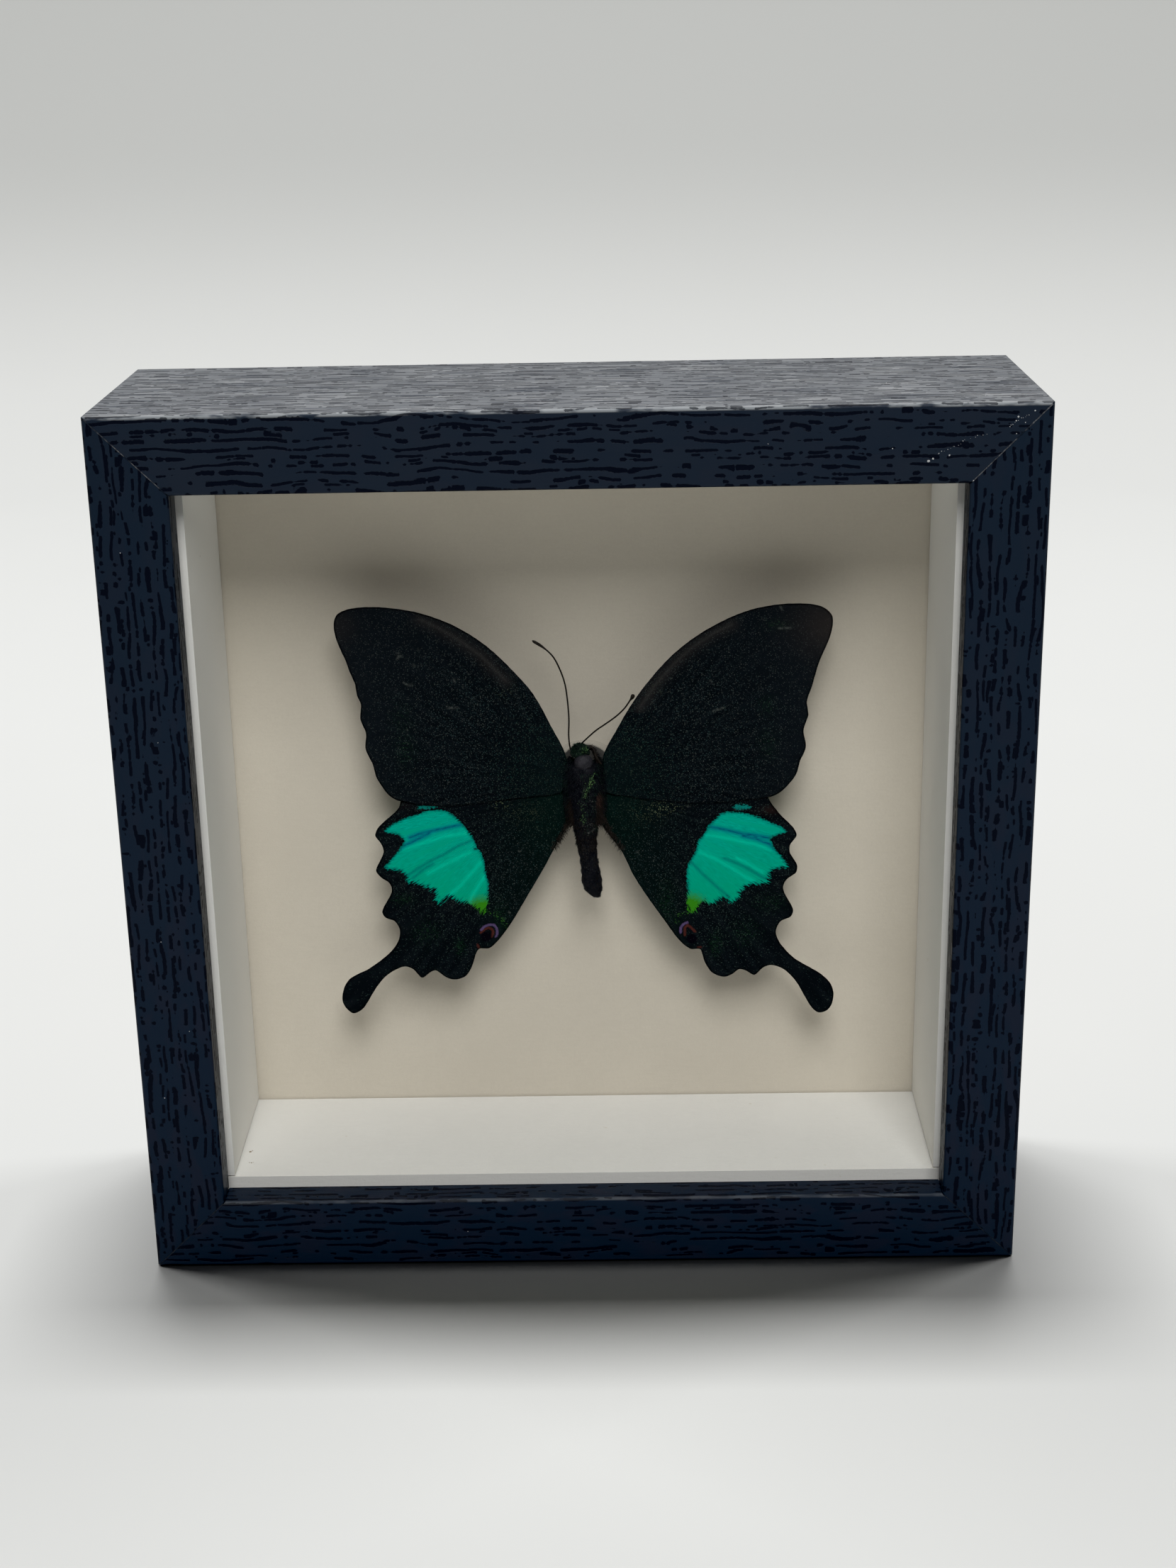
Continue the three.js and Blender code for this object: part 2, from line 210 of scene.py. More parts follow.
def rings_joined(rings, sides, first=0):
    """The faces between rings of points that follow each other, the first point being number first."""
    faces = []
    for k in range(rings - 1):
        for s in range(sides):
            a, b = first + k * sides + s, first + k * sides + (s + 1) % sides
            faces.append((a, b, b + sides, a + sides))
    return faces


def tube_faces(rings, sides):
    """Rings joined to a closed tube, with a flat face at each end."""
    ends = [tuple(reversed(range(sides))), tuple(range((rings - 1) * sides, rings * sides))]
    return rings_joined(rings, sides) + ends


def smooth_cad(node, degrees=40):
    """Shades a faceted node smoothly, except across its sharp edges."""
    piece = NODES[node]
    piece.data.polygons.foreach_set("use_smooth", [True] * len(piece.data.polygons))
    weld = piece.modifiers.new("Weld", "WELD")
    weld.merge_threshold = 0.005 * MM
    soft = piece.modifiers.new("EdgeSplit", "EDGE_SPLIT")
    soft.split_angle = math.radians(degrees)
    return piece


def spline(points, steps, closed=False):
    """A smooth curve through the points, with a few steps from each point to the next."""
    points = np.asarray(points, float)
    count = len(points)
    if closed:
        padded = np.vstack([points[-1:], points, points[:2]])
        spans = count
    else:
        padded = np.vstack([2 * points[0] - points[1], points, 2 * points[-1] - points[-2]])
        spans = count - 1
    made = []
    for i in range(spans):
        a, b, c, d = padded[i:i + 4]
        gaps = [max(np.linalg.norm(q - p), 1e-6) ** 0.5 for p, q in ((a, b), (b, c), (c, d))]
        slope_b = (c - b) / gaps[1] - (c - a) / (gaps[0] + gaps[1]) + (b - a) / gaps[0]
        slope_c = (d - c) / gaps[2] - (d - b) / (gaps[1] + gaps[2]) + (c - b) / gaps[1]
        start, end = slope_b * gaps[1], slope_c * gaps[1]
        for t in np.arange(steps) / steps:
            made.append((2 * t ** 3 - 3 * t ** 2 + 1) * b + (t ** 3 - 2 * t ** 2 + t) * start
                        + (3 * t ** 2 - 2 * t ** 3) * c + (t ** 3 - t ** 2) * end)
    if not closed:
        made.append(points[-1])
    return np.array(made)


def path_lengths(line):
    """How far each point lies along its line."""
    return np.concatenate([[0], np.cumsum(np.linalg.norm(np.diff(line, axis=0), axis=1))])


def even(points, spacing, closed=False):
    """The same line with points at an even spacing."""
    line = np.vstack([points, points[:1]]) if closed else np.asarray(points)
    lengths = path_lengths(line)
    count = max(3, int(round(lengths[-1] / spacing)))
    wanted = np.linspace(0, lengths[-1], count + 1)
    if closed:
        wanted = wanted[:-1]
    return np.stack([np.interp(wanted, lengths, line[:, k]) for k in range(line.shape[1])], 1)


def distance_to(points, line, closed=False):
    """The distance from each point to a line of straight stretches."""
    line = np.asarray(line, float)
    starts, ends = (line, np.roll(line, -1, 0)) if closed else (line[:-1], line[1:])
    best = np.full(len(points), 1e9)
    for start, end in zip(starts, ends):
        along = end - start
        share = np.clip((points - start) @ along / max(along @ along, 1e-12), 0, 1)
        best = np.minimum(best, np.linalg.norm(points - start - share[:, None] * along, axis=1))
    return best


def inside(points, outline):
    """True for each point that lies within a closed outline."""
    x, z = points[:, 0], points[:, 1]
    found = np.zeros(len(points), bool)
    for (x0, z0), (x1, z1) in zip(outline, np.roll(outline, -1, 0)):
        crosses = (z0 > z) != (z1 > z)
        with np.errstate(divide="ignore", invalid="ignore"):
            found ^= crosses & (x < (x1 - x0) * (z - z0) / (z1 - z0) + x0)
    return found


def depth_in(points, outline):
    """How deep each point lies within a closed outline, below zero outside it."""
    return distance_to(points, outline, closed=True) * np.where(inside(points, outline), 1, -1)


def ridge(distance, width):
    """A soft ridge: 1 on a line, falling away over a width."""
    return np.exp(-(distance / width) ** 2)


def wander(points, size, seed):
    """Smooth random numbers between about -1 and 1 over points in millimetres."""
    return np.array([noise.noise(Vector((x / size, seed * 3.7, z / size))) for x, z in points])


# ---------------------------------------------------------------- camera, floor and light

def make_camera():
    """The camera as solved from the corners of the frame in the photo."""
    camera = bpy.data.objects.new("Camera", bpy.data.cameras.new("Camera"))
    bpy.context.scene.collection.objects.link(camera)
    camera.location = (0.00698, -0.37269, 0.21235)
    pitch, roll, turn = 70.553, 1.011, 0.422
    camera.rotation_euler = Euler([math.radians(angle) for angle in (pitch, roll, turn)])
    camera.data.lens = 52.39
    camera.data.sensor_width = 36
    camera.data.clip_start = 0.01
    camera.data.clip_end = 20
    bpy.context.scene.camera = camera


def make_floor():
    """A pale paper sweep: flat under the frame and curving up behind it."""
    near, flat, bend, half = -0.5, 0.62, 0.4, 1.7        # metres
    climb, steps = 70, 20
    profile = [(near, 0), (flat, 0)]
    profile += [(flat + bend * math.sin(a), bend - bend * math.cos(a))
                for a in np.linspace(0, math.radians(climb), steps)[1:]]
    points = [(x, y, z) for y, z in profile for x in (-half, half)]
    faces = [(2 * i, 2 * i + 1, 2 * i + 3, 2 * i + 2) for i in range(len(profile) - 1)]
    mesh = bpy.data.meshes.new("sweep")
    mesh.from_pydata(points, [], faces)
    mesh.polygons.foreach_set("use_smooth", [True] * len(mesh.polygons))
    sweep = bpy.data.objects.new("sweep", mesh)
    bpy.context.scene.collection.objects.link(sweep)
    sweep.location.z = -0.02 * MM        # just clear of the lower rail's face
    paper = Shader("pale_paper")
    here = paper.place()
    height = paper.split(here)[2]
    cloud = paper.noise(here, 90, 3)
    color = paper.mix(cloud, (0.592, 0.597, 0.584), (0.610, 0.615, 0.602))
    # Painted shade: the sweep darkens as it climbs behind the frame.
    color = paper.mix(paper.step(height, 0, 135), color, (0.438, 0.443, 0.430))
    paint(sweep, paper.finish(color, 0.9, Specular_IOR_Level=0.2))


def make_light(name, place, target, width, depth, power, reach="all"):
    """A soft box. Its light falls on everything, on the floor alone, or on all but the floor."""
    lamp = bpy.data.lights.new(name, "AREA")
    lamp.shape = "RECTANGLE"
    lamp.size = width
    lamp.size_y = depth
    lamp.energy = power
    light = bpy.data.objects.new(name, lamp)
    bpy.context.scene.collection.objects.link(light)
    light.location = place
    light.rotation_euler = (Vector(target) - Vector(place)).to_track_quat("-Z", "Y").to_euler()
    if reach != "all":
        lit = bpy.data.collections.new(name + "_reach")
        lit.objects.link(bpy.data.objects["sweep"])
        light.light_linking.receiver_collection = lit
        lit.collection_objects[0].light_linking.link_state = "INCLUDE" if reach == "floor" else "EXCLUDE"


def make_lights():
    """Soft boxes over the frame, above its front and behind it, in a room that gives little light.

    Those in front and behind are kept off the floor, so the floor keeps the deep shadow of the box
    above. Two boxes at the sides light the floor alone and thin that shadow out at both ends.
    """
    make_light("over", (-0.01, 0.224, 1.6), (-0.01, 0.224, 0), 0.42, 0.26, 25)
    for side, x in zip(SIDES, (-1.0, 1.0)):
        make_light("floor_" + side, (x, 0.40, 0.9), (0, 0, 0), 0.4, 0.4, 6.0, "floor")
    make_light("front", (0.06, -0.65, 0.76), (0, 0, 0.05), 0.42, 0.46, 6.1, "object")
    make_light("behind", (0, 1.0, 0.75), (0, 0, 0.1), 1.4, 0.3, 5.0, "object")
    world = bpy.data.worlds.new("World")
    world.use_nodes = True
    nodes, links = world.node_tree.nodes, world.node_tree.links
    room = nodes["Background"]
    room.inputs["Color"].default_value = (0.97, 0.99, 1, 1)
    room.inputs["Strength"].default_value = 0.01
    seen = nodes.new("ShaderNodeBackground")
    seen.inputs["Color"].default_value = (0.77, 0.78, 0.75, 1)
    ray = nodes.new("ShaderNodeLightPath")
    both = nodes.new("ShaderNodeMixShader")
    links.new(ray.outputs["Is Camera Ray"], both.inputs[0])
    links.new(room.outputs[0], both.inputs[1])
    links.new(seen.outputs[0], both.inputs[2])
    links.new(both.outputs[0], nodes["World Output"].inputs["Surface"])
    bpy.context.scene.world = world
    view = bpy.context.scene.view_settings
    view.view_transform = "Standard"
    view.use_curve_mapping = True
    view.curve_mapping.black_level = (0.0015, 0.0015, 0.0015)


# ---------------------------------------------------------------- the moulding

def foil_material(name, upright):
    """Navy foil with embossed near-black dashes in wavering rows along the grain."""
    foil = Shader(name)
    here = foil.place()
    x, y, z = foil.split(here)
    along, side = (z, x) if upright else (x, z)
    across = foil.add(side, y)
    flat = foil.join(along, across, 0.0)
    drift = foil.noise(foil.stretch(flat, (11, 4, 1)), 1, 2)
    ragged = foil.noise(foil.stretch(flat, (0.55, 0.24, 1)), 1, 2)

    def rows(pitch, seed, length, level):
        """One family of dashes: rows a pitch apart, broken along their length."""
        waver, widest, tatter = 1.9, 0.27, 0.30
        shifted = foil.add(foil.math("DIVIDE", across, pitch), foil.times(drift, waver))
        row = foil.math("FLOOR", foil.add(shifted, seed))
        aside = foil.math("ABSOLUTE", foil.add(foil.math("FRACT", foil.add(shifted, seed)), -0.5))
        aside = foil.times(aside, pitch)
        ids = foil.join(foil.math("DIVIDE", along, length), foil.times(row, 7.31), seed)
        wide = foil.times(foil.add(foil.noise(ids, 1, 2.0, 0.6), -level), 8.0)
        wide = foil.math("MINIMUM", wide, widest)
        edge = foil.times(foil.add(ragged, -0.5), tatter)
        return foil.step(foil.add(foil.add(wide, edge), foil.times(aside, -1.0)), -0.04, 0.05)

    reach = 0.8 if upright else 1.0
    dashes = foil.most(rows(1.38, 0.37, 3.5 * reach, 0.475), rows(2.1, 5.61, 2.8 * reach, 0.545))
    patches = foil.step(foil.noise(foil.stretch(flat, (9, 4, 1)), 1, 3), 0.46, 0.62)
    grit = foil.noise(flat, 0.2, 2)
    ground = foil.mix(patches, (0.0040, 0.0118, 0.0270), (0.0080, 0.0122, 0.0260))
    ground = foil.mix(foil.times(grit, 0.4), ground, (0.0130, 0.0210, 0.0360))
    # Painted sheen: lighter, greyer clouds that grow towards the top of the frame, fainter on the upright
    # rails.
    bloom_and_sheen = foil.noise(foil.stretch(flat, (16, 9, 1)), 1, 4, 0.6)
    bloom_and_sheen = foil.times(foil.step(z, 10, 150), foil.span(bloom_and_sheen, 0.35, 1.05))
    haze_and_sheen = (0.0110, 0.0185, 0.0310) if upright else (0.0155, 0.0220, 0.0335)
    ground = foil.mix(bloom_and_sheen, ground, haze_and_sheen)
    color = foil.mix(dashes, ground, (0.0014, 0.0028, 0.0080))
    fine = foil.noise(foil.stretch(flat, (7, 0.5, 1)), 1, 3, 0.6)
    if not upright:
        # Painted highlight: a broken light line along the frame's top front edge and, more faintly, along
        # the sill's inner edge.
        highlight_breaks = foil.step(foil.noise(foil.stretch(here, (5, 2, 2)), 1, 3), 0.36, 0.56)
        highlight_breaks = foil.times(highlight_breaks, foil.less(foil.times(dashes, 0.8)))
        slope = foil.math("SUBTRACT", z, y)
        top_edge = foil.step(slope, 172.30, 172.55)
        sill_edge = foil.times(foil.step(slope, 35.05, 35.25), foil.step(z, 13.4, 12.9))
        sill_edge = foil.times(sill_edge, foil.step(y, -22.2, -22.6))
        faint = foil.span(highlight_breaks, 0.10, 0.30)
        edge = foil.add(foil.times(top_edge, highlight_breaks), foil.times(sill_edge, faint))
        color = foil.mix(foil.times(edge, 0.8), color, (0.22, 0.235, 0.245))
        # Painted sheen: light grey streaks along the grain, on the top face alone.
        top_sheen = foil.step(foil.noise(foil.stretch(flat, (15, 0.34, 1)), 1, 4, 0.6), 0.38, 0.66)
        on_top = foil.times(foil.step(z, 149.75, 149.95), foil.less(foil.times(dashes, 0.7)))
        color = foil.mix(foil.times(top_sheen, on_top), color, (0.225, 0.233, 0.238))
    roughness = foil.span(foil.add(foil.times(fine, 0.45), foil.times(dashes, 0.55)), 0.26, 0.66)
    height = foil.add(foil.times(fine, 0.35), foil.times(dashes, -0.9))
    height = foil.add(height, foil.times(grit, 0.12))
    return foil.finish(color, roughness, foil.bump(height, 0.06), Specular_IOR_Level=0.06)


def dress_rails():
    """The four rails keep their CAD meshes, with the foil's grain along each of them."""
    flat_foil = foil_material("foil_level", False)
    tall_foil = foil_material("foil_upright", True)
    for name in ("rail_bottom", "rail_top"):
        paint(smooth_cad(name), flat_foil)
    for name in ("rail_left", "rail_right"):
        paint(smooth_cad(name), tall_foil)


def filler_material():
    """Pale grey filler and bare board in the mitre joints, dark where the joint is tight and darker towards
    the bottom of the frame.
    """
    filler = Shader("mitre_filler")
    here = filler.place()
    grain = filler.noise(here, 0.35, 3)
    gaps = filler.step(filler.noise(here, 2.2, 2), 0.36, 0.56)
    color = filler.mix(filler.step(grain, 0.35, 0.7), (0.040, 0.044, 0.052), (0.140, 0.145, 0.153))
    shown = filler.times(gaps, filler.span(filler.step(filler.split(here)[2], 10, 130), 0.15, 1.0))
    color = filler.mix(shown, (0.006, 0.011, 0.020), color)
    return filler.finish(color, 0.7, filler.bump(grain, 0.03), Specular_IOR_Level=0.1)


def make_mitres():
    """The hairline of filler in each mitre joint, just below the faces of the rails."""
    outer, inner = 74.6, 62.7            # from the middle of the frame, across and up alike
    half, deep, sunk, steps = 0.09, 2.4, 0.02, 40
    low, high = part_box("rail_left")[0] / MM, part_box("rail_left")[1] / MM
    middle = (low.z + high.z) / 2
    front = low.y + sunk
    material = filler_material()
    for x_side, z_side, name in ((-1, 1, "top_left"), (1, 1, "top_right"),
                                 (-1, -1, "bottom_left"), (1, -1, "bottom_right")):
        corners = []
        for i in range(steps + 1):
            reach = inner + (outer - inner) * i / steps
            sway = 0.03 * noise.noise(Vector((reach * 1.7, x_side * 9.1, z_side * 5.3)))
            width = half * (0.75 + 0.5 * abs(noise.noise(Vector((reach * 0.9, x_side, z_side + 4)))))
            for y in (front, front + deep):
                for way in (-1, 1):
                    aside = (way * width + sway) / math.sqrt(2)
                    corners.append((x_side * (reach + aside), y, middle + z_side * (reach - aside)))
        faces = []
        for i in range(steps):
            a, b = 4 * i, 4 * i + 4
            faces += [(a, a + 1, b + 1, b), (a + 1, a + 3, b + 3, b + 1),
                      (a + 3, a + 2, b + 2, b + 3), (a + 2, a, b, b + 2)]
        last = 4 * steps
        faces += [(0, 2, 3, 1), (last, last + 1, last + 3, last + 2)]
        piece = make_piece("mitre_" + name, corners, faces, material, "fibreboard", smooth=False)
        orient(piece)


def orient(piece):
    """Turns every face of a closed mesh outwards."""
    made = bmesh.new()
    made.from_mesh(piece.data)
    bmesh.ops.recalc_face_normals(made, faces=made.faces)
    made.to_mesh(piece.data)
    made.free()


# ---------------------------------------------------------------- glass, boards and fittings

def clear_material(name, ior, tint, roughness=0.0, haze_and_sheen=0.0):
    """A clear pane or moulding that lets light straight through and mirrors a little at its face."""
    clear = Shader(name)
    smear = clear.noise(clear.place(), 26, 4, 0.6)
    through = clear.node("BsdfTransparent", {"Color": tint}).outputs[0]
    shine = clear.node("BsdfGlossy", {"Color": (1, 1, 1), "Roughness": roughness}).outputs[0]
    fresnel = clear.node("Fresnel", {"IOR": ior}).outputs[0]
    share = clear.times(fresnel, clear.span(smear, 0.9, 1.1))
    surface = clear.node("MixShader", {0: share, 1: through, 2: shine}).outputs[0]
    if haze_and_sheen:
        dull = clear.node("BsdfDiffuse", {"Color": (0.8, 0.8, 0.8)}).outputs[0]
        surface = clear.node("MixShader", {0: haze_and_sheen, 1: surface, 2: dull}).outputs[0]
    return clear.end(surface)


def board_material(name, light, dark, fibre, depth, blot=0.0):
    """Matt paper-faced board: faint fibres, slow clouds of tone and a soft tooth."""
    board = Shader(name)
    here = board.place()
    tooth = board.noise(here, fibre, 4, 0.6)
    cloud = board.noise(here, 22, 3)
    strands = board.noise(board.stretch(here, (2.6, 0.5, 0.45)), 1, 3)
    slow = board.add(board.times(cloud, 0.4), board.times(strands, 0.15))
    share = board.add(board.times(tooth, 0.45), slow)
    color = board.mix(board.step(share, 0.35, 0.65), dark, light)
    if blot:
        specks = board.step(board.noise(here, 1.6, 2), 0.76, 0.80)
        color = board.mix(board.times(specks, blot), color, (0.52, 0.44, 0.30))
    height = board.add(board.times(tooth, 0.7), board.times(strands, 0.5))
    return board.finish(color, 0.92, board.bump(height, depth), Specular_IOR_Level=0.15)


def fibreboard_material():
    """Brown fibreboard: matted short fibres and dark flecks."""
    board = Shader("brown_fibreboard")
    here = board.place()
    mat_one = board.noise(board.stretch(here, (1.8, 1, 0.22)), 1, 4, 0.65, 0.6)
    mat_two = board.noise(board.stretch(here, (0.22, 1, 1.8)), 1, 4, 0.65, 0.6)
    fibres = board.most(mat_one, mat_two)
    cloud = board.noise(here, 14, 3)
    flecks = board.step(board.noise(here, 0.7, 3), 0.64, 0.74)
    color = board.mix(board.step(fibres, 0.42, 0.72), (0.13, 0.072, 0.034), (0.33, 0.205, 0.11))
    color = board.mix(board.times(cloud, 0.4), color, (0.24, 0.15, 0.08))
    color = board.mix(board.times(flecks, 0.7), color, (0.06, 0.035, 0.018))
    return board.finish(color, 0.85, board.bump(fibres, 0.08), Specular_IOR_Level=0.25)


def steel_material():
    """Zinc-plated sheet steel: faint rolling lines, dull clouds and small scuffs."""
    steel = Shader("zinc_steel")
    here = steel.place()
    lines = steel.noise(steel.stretch(here, (5, 5, 0.12)), 1, 3)
    bloom_and_sheen = steel.noise(here, 2.4, 4, 0.6)
    scuffs = steel.step(steel.noise(steel.stretch(here, (0.3, 0.3, 2.2)), 1, 2), 0.62, 0.70)
    color = steel.mix(bloom_and_sheen, (0.42, 0.43, 0.44), (0.66, 0.67, 0.67))
    color = steel.mix(steel.times(scuffs, 0.5), color, (0.30, 0.30, 0.31))
    roughness = steel.span(steel.add(steel.times(bloom_and_sheen, 0.7), steel.times(scuffs, 0.3)), 0.24, 0.5)
    return steel.finish(color, roughness, steel.bump(lines, 0.012), Metallic=1.0)


def dress_box():
    """The pane, the boards and the fittings keep their CAD meshes and get their materials."""
    cream = board_material("cream_card", (0.700, 0.648, 0.555), (0.655, 0.604, 0.516), 0.30, 0.03)
    white = board_material("white_card", (0.870, 0.865, 0.840), (0.825, 0.820, 0.795), 0.42, 0.05, 0.35)
    paint(NODES["mount_board"], cream)
    for side in ("bottom", "top", *SIDES):
        paint(NODES["spacer_" + side], white)
    paint(NODES["glass_pane"], clear_material("pane_glass", 1.03, (0.99, 0.99, 0.985)))
    paint(NODES["back_board"], fibreboard_material())
    steel = steel_material()
    for name in NODES:
        if name.startswith(("tab_", "hanger")):
            paint(smooth_cad(name, 35), steel)
    plastic = clear_material("clear_plastic", 1.45, (0.95, 0.95, 0.945), 0.06, 0.03)
    paint(smooth_cad("mounting_pad", 35), plastic)


# ---------------------------------------------------------------- the wings

def cap_outline(node):
    """The outline (x, z) in millimetres of a flat wing node, in order round its front face."""
    mesh = NODES[node].data
    spots = np.array([vertex.co for vertex in mesh.vertices]).round(6)
    spots, index = np.unique(spots, axis=0, return_inverse=True)
    index = index.ravel()
    front = spots[:, 1].min()
    edges = set()
    for polygon in mesh.polygons:
        corners = [int(index[i]) for i in polygon.vertices]
        if all(abs(spots[i, 1] - front) < 1e-6 for i in corners):
            edges.update(zip(corners, corners[1:] + corners[:1]))
    following = {a: b for a, b in edges if (b, a) not in edges}
    start = min(following)
    loop = [start]
    while following[loop[-1]] != start:
        loop.append(following[loop[-1]])
    return spots[loop][:, [0, 2]] / MM


def fill(outline, spacing):
    """Points and triangles that fill a closed outline, on a fine triangular grid."""
    low, high = outline.min(0), outline.max(0)
    rows = np.arange(low[1], high[1], spacing * math.sqrt(3) / 2)
    grid = np.array([(x + (k % 2) * spacing / 2, z) for k, z in enumerate(rows)
                     for x in np.arange(low[0], high[0], spacing)])
    grid = grid[depth_in(grid, outline) > spacing * 0.6]
    points = np.vstack([outline, grid])
    rim = list(range(len(outline)))
    edges = list(zip(rim, rim[1:] + rim[:1]))
    made = geometry.delaunay_2d_cdt([Vector(p) for p in points], edges, [rim], 1, 1e-7)
    return np.array([tuple(p) for p in made[0]]), [tuple(face) for face in made[2]]


def sheet_solid(points, triangles, front, thickness):
    """A closed thin solid from a filled outline: a front face, a back face and a rim."""
    count = len(points)
    near = np.column_stack([points[:, 0], front, points[:, 1]])
    far = near + (0, thickness, 0)
    first = points[list(triangles[0])]
    turn = np.cross(first[1] - first[0], first[2] - first[0])
    if turn < 0:
        triangles = [tuple(reversed(t)) for t in triangles]
    edges = set()
    for a, b, c in triangles:
        edges.update(((a, b), (b, c), (c, a)))
    rim = [(b, a, a + count, b + count) for a, b in edges if (b, a) not in edges]
    back = [tuple(i + count for i in reversed(t)) for t in triangles]
    return np.vstack([near, far]), list(triangles) + back + rim


WING_SPACING = 0.34
WING_THICKNESS = 0.16

# Outlines and lines on the wings as seen from the front, each point (x, z) in millimetres.
PATCH = {
    "left": [(-27.5, 74), (-26, 74.4), (-23.25, 74.25), (-21.4, 72.75), (-19.6, 70.5), (-18.4, 68.25),
             (-18.1, 67.2), (-18.5, 67), (-17.8, 66.8), (-17.1, 65.5), (-16.6, 62), (-16.25, 60.25),
             (-16.4, 58.6), (-16.5, 57), (-16.9, 55.5), (-17.5, 54.5), (-18, 55.25), (-18.75, 56),
             (-20, 56.6), (-21.5, 56.9), (-22.5, 57.5), (-23.5, 57.9), (-24.5, 57.25), (-25.25, 56.6),
             (-25.75, 57.25), (-25.8, 58.75), (-26.75, 59.5), (-29, 60.45), (-30.9, 61), (-30.75, 61.75),
             (-31.4, 62.6), (-32.25, 63.1), (-34.6, 63.5), (-33.25, 65.4), (-31.6, 67.4), (-31, 68.75),
             (-31.5, 69.4), (-32.25, 69.9), (-34.4, 70.4), (-33.25, 71.6), (-30.5, 73), (-29, 73.5)],
    "right": [(25.75, 73.2), (27, 73.3), (30.5, 72.75), (34, 71.25), (36.1, 70.2), (36.9, 69.2),
              (35.75, 69), (34.75, 68.6), (34, 68.25), (34.2, 67.4), (34.75, 66.25), (36.25, 64.4),
              (37.1, 62.6), (36, 62.6), (34.9, 62.4), (34.1, 61.9), (33.6, 61), (33.75, 60.25),
              (33.3, 59.6), (30.75, 59.5), (29.5, 58.9), (28.6, 58.1), (28.5, 57), (27.9, 56.4),
              (27, 56), (26.25, 57), (25.25, 56.9), (24, 56), (23, 55.9), (22, 56.4), (21, 55.4),
              (20.6, 54.5), (19.75, 54.25), (19.3, 55.25), (19.25, 59), (19.1, 61), (19.25, 63),
              (20.75, 66), (21.25, 68), (22.1, 69), (23.25, 71), (24.25, 72), (25, 72.9)],
}
BLOB = {
    "left": [(-28.4, 74.7), (-28, 75.3), (-26.6, 75.4), (-25, 75.35), (-24.9, 75), (-26, 74.7),
             (-27.4, 74.6)],
    "right": [(27.4, 74), (27.8, 74.6), (29, 74.65), (30.2, 74.4), (30.5, 73.9), (29, 73.7), (28, 73.7)],
}
# Trails of yellow-green from the lowest corner of the patch towards the eye spot.
TRAIL = {
    "left": [(-18.2, 56), (-17.5, 54.7), (-16.25, 54.75), (-15.25, 54.4), (-14.5, 53.9), (-13.3, 52)],
    "right": [(20.2, 56), (19.75, 54.5), (18.75, 54), (17.75, 53.7), (17.5, 53), (17.4, 52.5)],
}
GREEN_CORNER = {"left": (-17.5, 55.3), "right": (19.8, 55.3)}
BLUE = {
    "left": [((-20.6, 71.6), (-23, 71.1), (-25.75, 70.5), (-28, 70), (-30, 69.25)),
             ((-26.5, 70), (-29, 68.75), (-31, 67.75), (-31.75, 67.25))],
    "right": [((23.25, 70.5), (25.25, 70.1), (27.5, 69.5), (29.5, 69), (31.5, 68.75), (33.75, 68.25)),
              ((29, 68.75), (31.5, 68.1), (33.5, 67.25), (34.75, 66.25))],
}
TEAL = {
    "left": [((-19, 68.5), (-21.5, 67.5), (-24, 66), (-26.5, 64.75), (-28.5, 63.5), (-30.75, 62)),
             ((-26, 64.25), (-28, 63), (-29.75, 61.5))],
    "right": [((25.75, 64.5), (27.5, 63.75), (29.5, 62.75), (31.5, 61.5), (33, 60.5)),
              ((20, 63.75), (22, 61.5), (24.5, 59), (26.5, 57.25))],
}
CREASE = {
    "left": [((-20, 69.9), (-23.5, 69.5), (-26.5, 68.5), (-29, 67.75), (-31.5, 66.9)),
             ((-19.5, 66.25), (-22, 65), (-25, 63.5), (-27, 62.25)),
             ((-17.4, 64.5), (-19.5, 62), (-21.5, 59.75), (-23.5, 58)),
             ((-16.75, 62), (-18, 60), (-19.25, 58), (-19.75, 56.75))],
    "right": [((21.25, 69), (24, 68.75), (26.5, 68.25), (29.5, 67.5), (32, 66.75), (34, 66)),
              ((28, 64.5), (30.25, 63.25), (32.5, 61.75)),
              ((21.5, 65.75), (24, 64.5), (26.5, 63), (29, 61.25), (31, 60))],
}
# The eye spot: a mauve crescent round a rust crescent round a black centre, and a rust margin spot.
EYE = {
    "left": {"mauve": [(-17.9, 51.25), (-17.25, 52), (-16.5, 52.3), (-15.5, 52.3), (-15, 51.5),
                       (-15, 50.5), (-15.25, 50)],
             "rust": [(-18, 50.75), (-17.1, 51.5), (-16.5, 51.75), (-15.85, 51.4), (-15.7, 50.75),
                      (-16, 50)],
             "centre": (-17, 50), "margin": [(-18.6, 48.5), (-18.3, 47.7)]},
    "right": {"mauve": [(18, 50.25), (18, 51.25), (18.6, 52), (19.25, 52.25)],
              "rust": [(18.75, 49.75), (18.75, 51.25), (19.25, 51.75), (20, 51.1), (20.6, 50.4)],
              "centre": (20, 49), "margin": [(21.1, 47.3), (21.6, 47.4)]},
}
# Clouds of green dust: (x, z, radius across, radius up, strength).
CLOUDS = {
    "hindwing_left": [(-31.5, 57.5, 1.8, 1.0, 0.7), (-27.75, 51, 2.6, 2.2, 0.4),
                      (-21.75, 48.25, 0.8, 1.4, 1.0), (-14.4, 54, 1.2, 3.0, 0.5)],
    "hindwing_right": [(34, 56, 3.0, 1.6, 0.45), (29.5, 50, 2.6, 2.6, 0.4),
                       (24.25, 48, 1.0, 2.0, 0.9), (15.5, 56, 1.4, 4.0, 0.5)],
    "forewing_left": [(-30, 86, 1.6, 3.4, 0.35), (-30.5, 92, 1.8, 2.4, 0.2)],
    "forewing_right": [(33, 93, 1.4, 1.6, 0.35), (33.4, 86, 1.5, 2.6, 0.3), (34.5, 107.5, 2.2, 0.9, 0.4)],
}
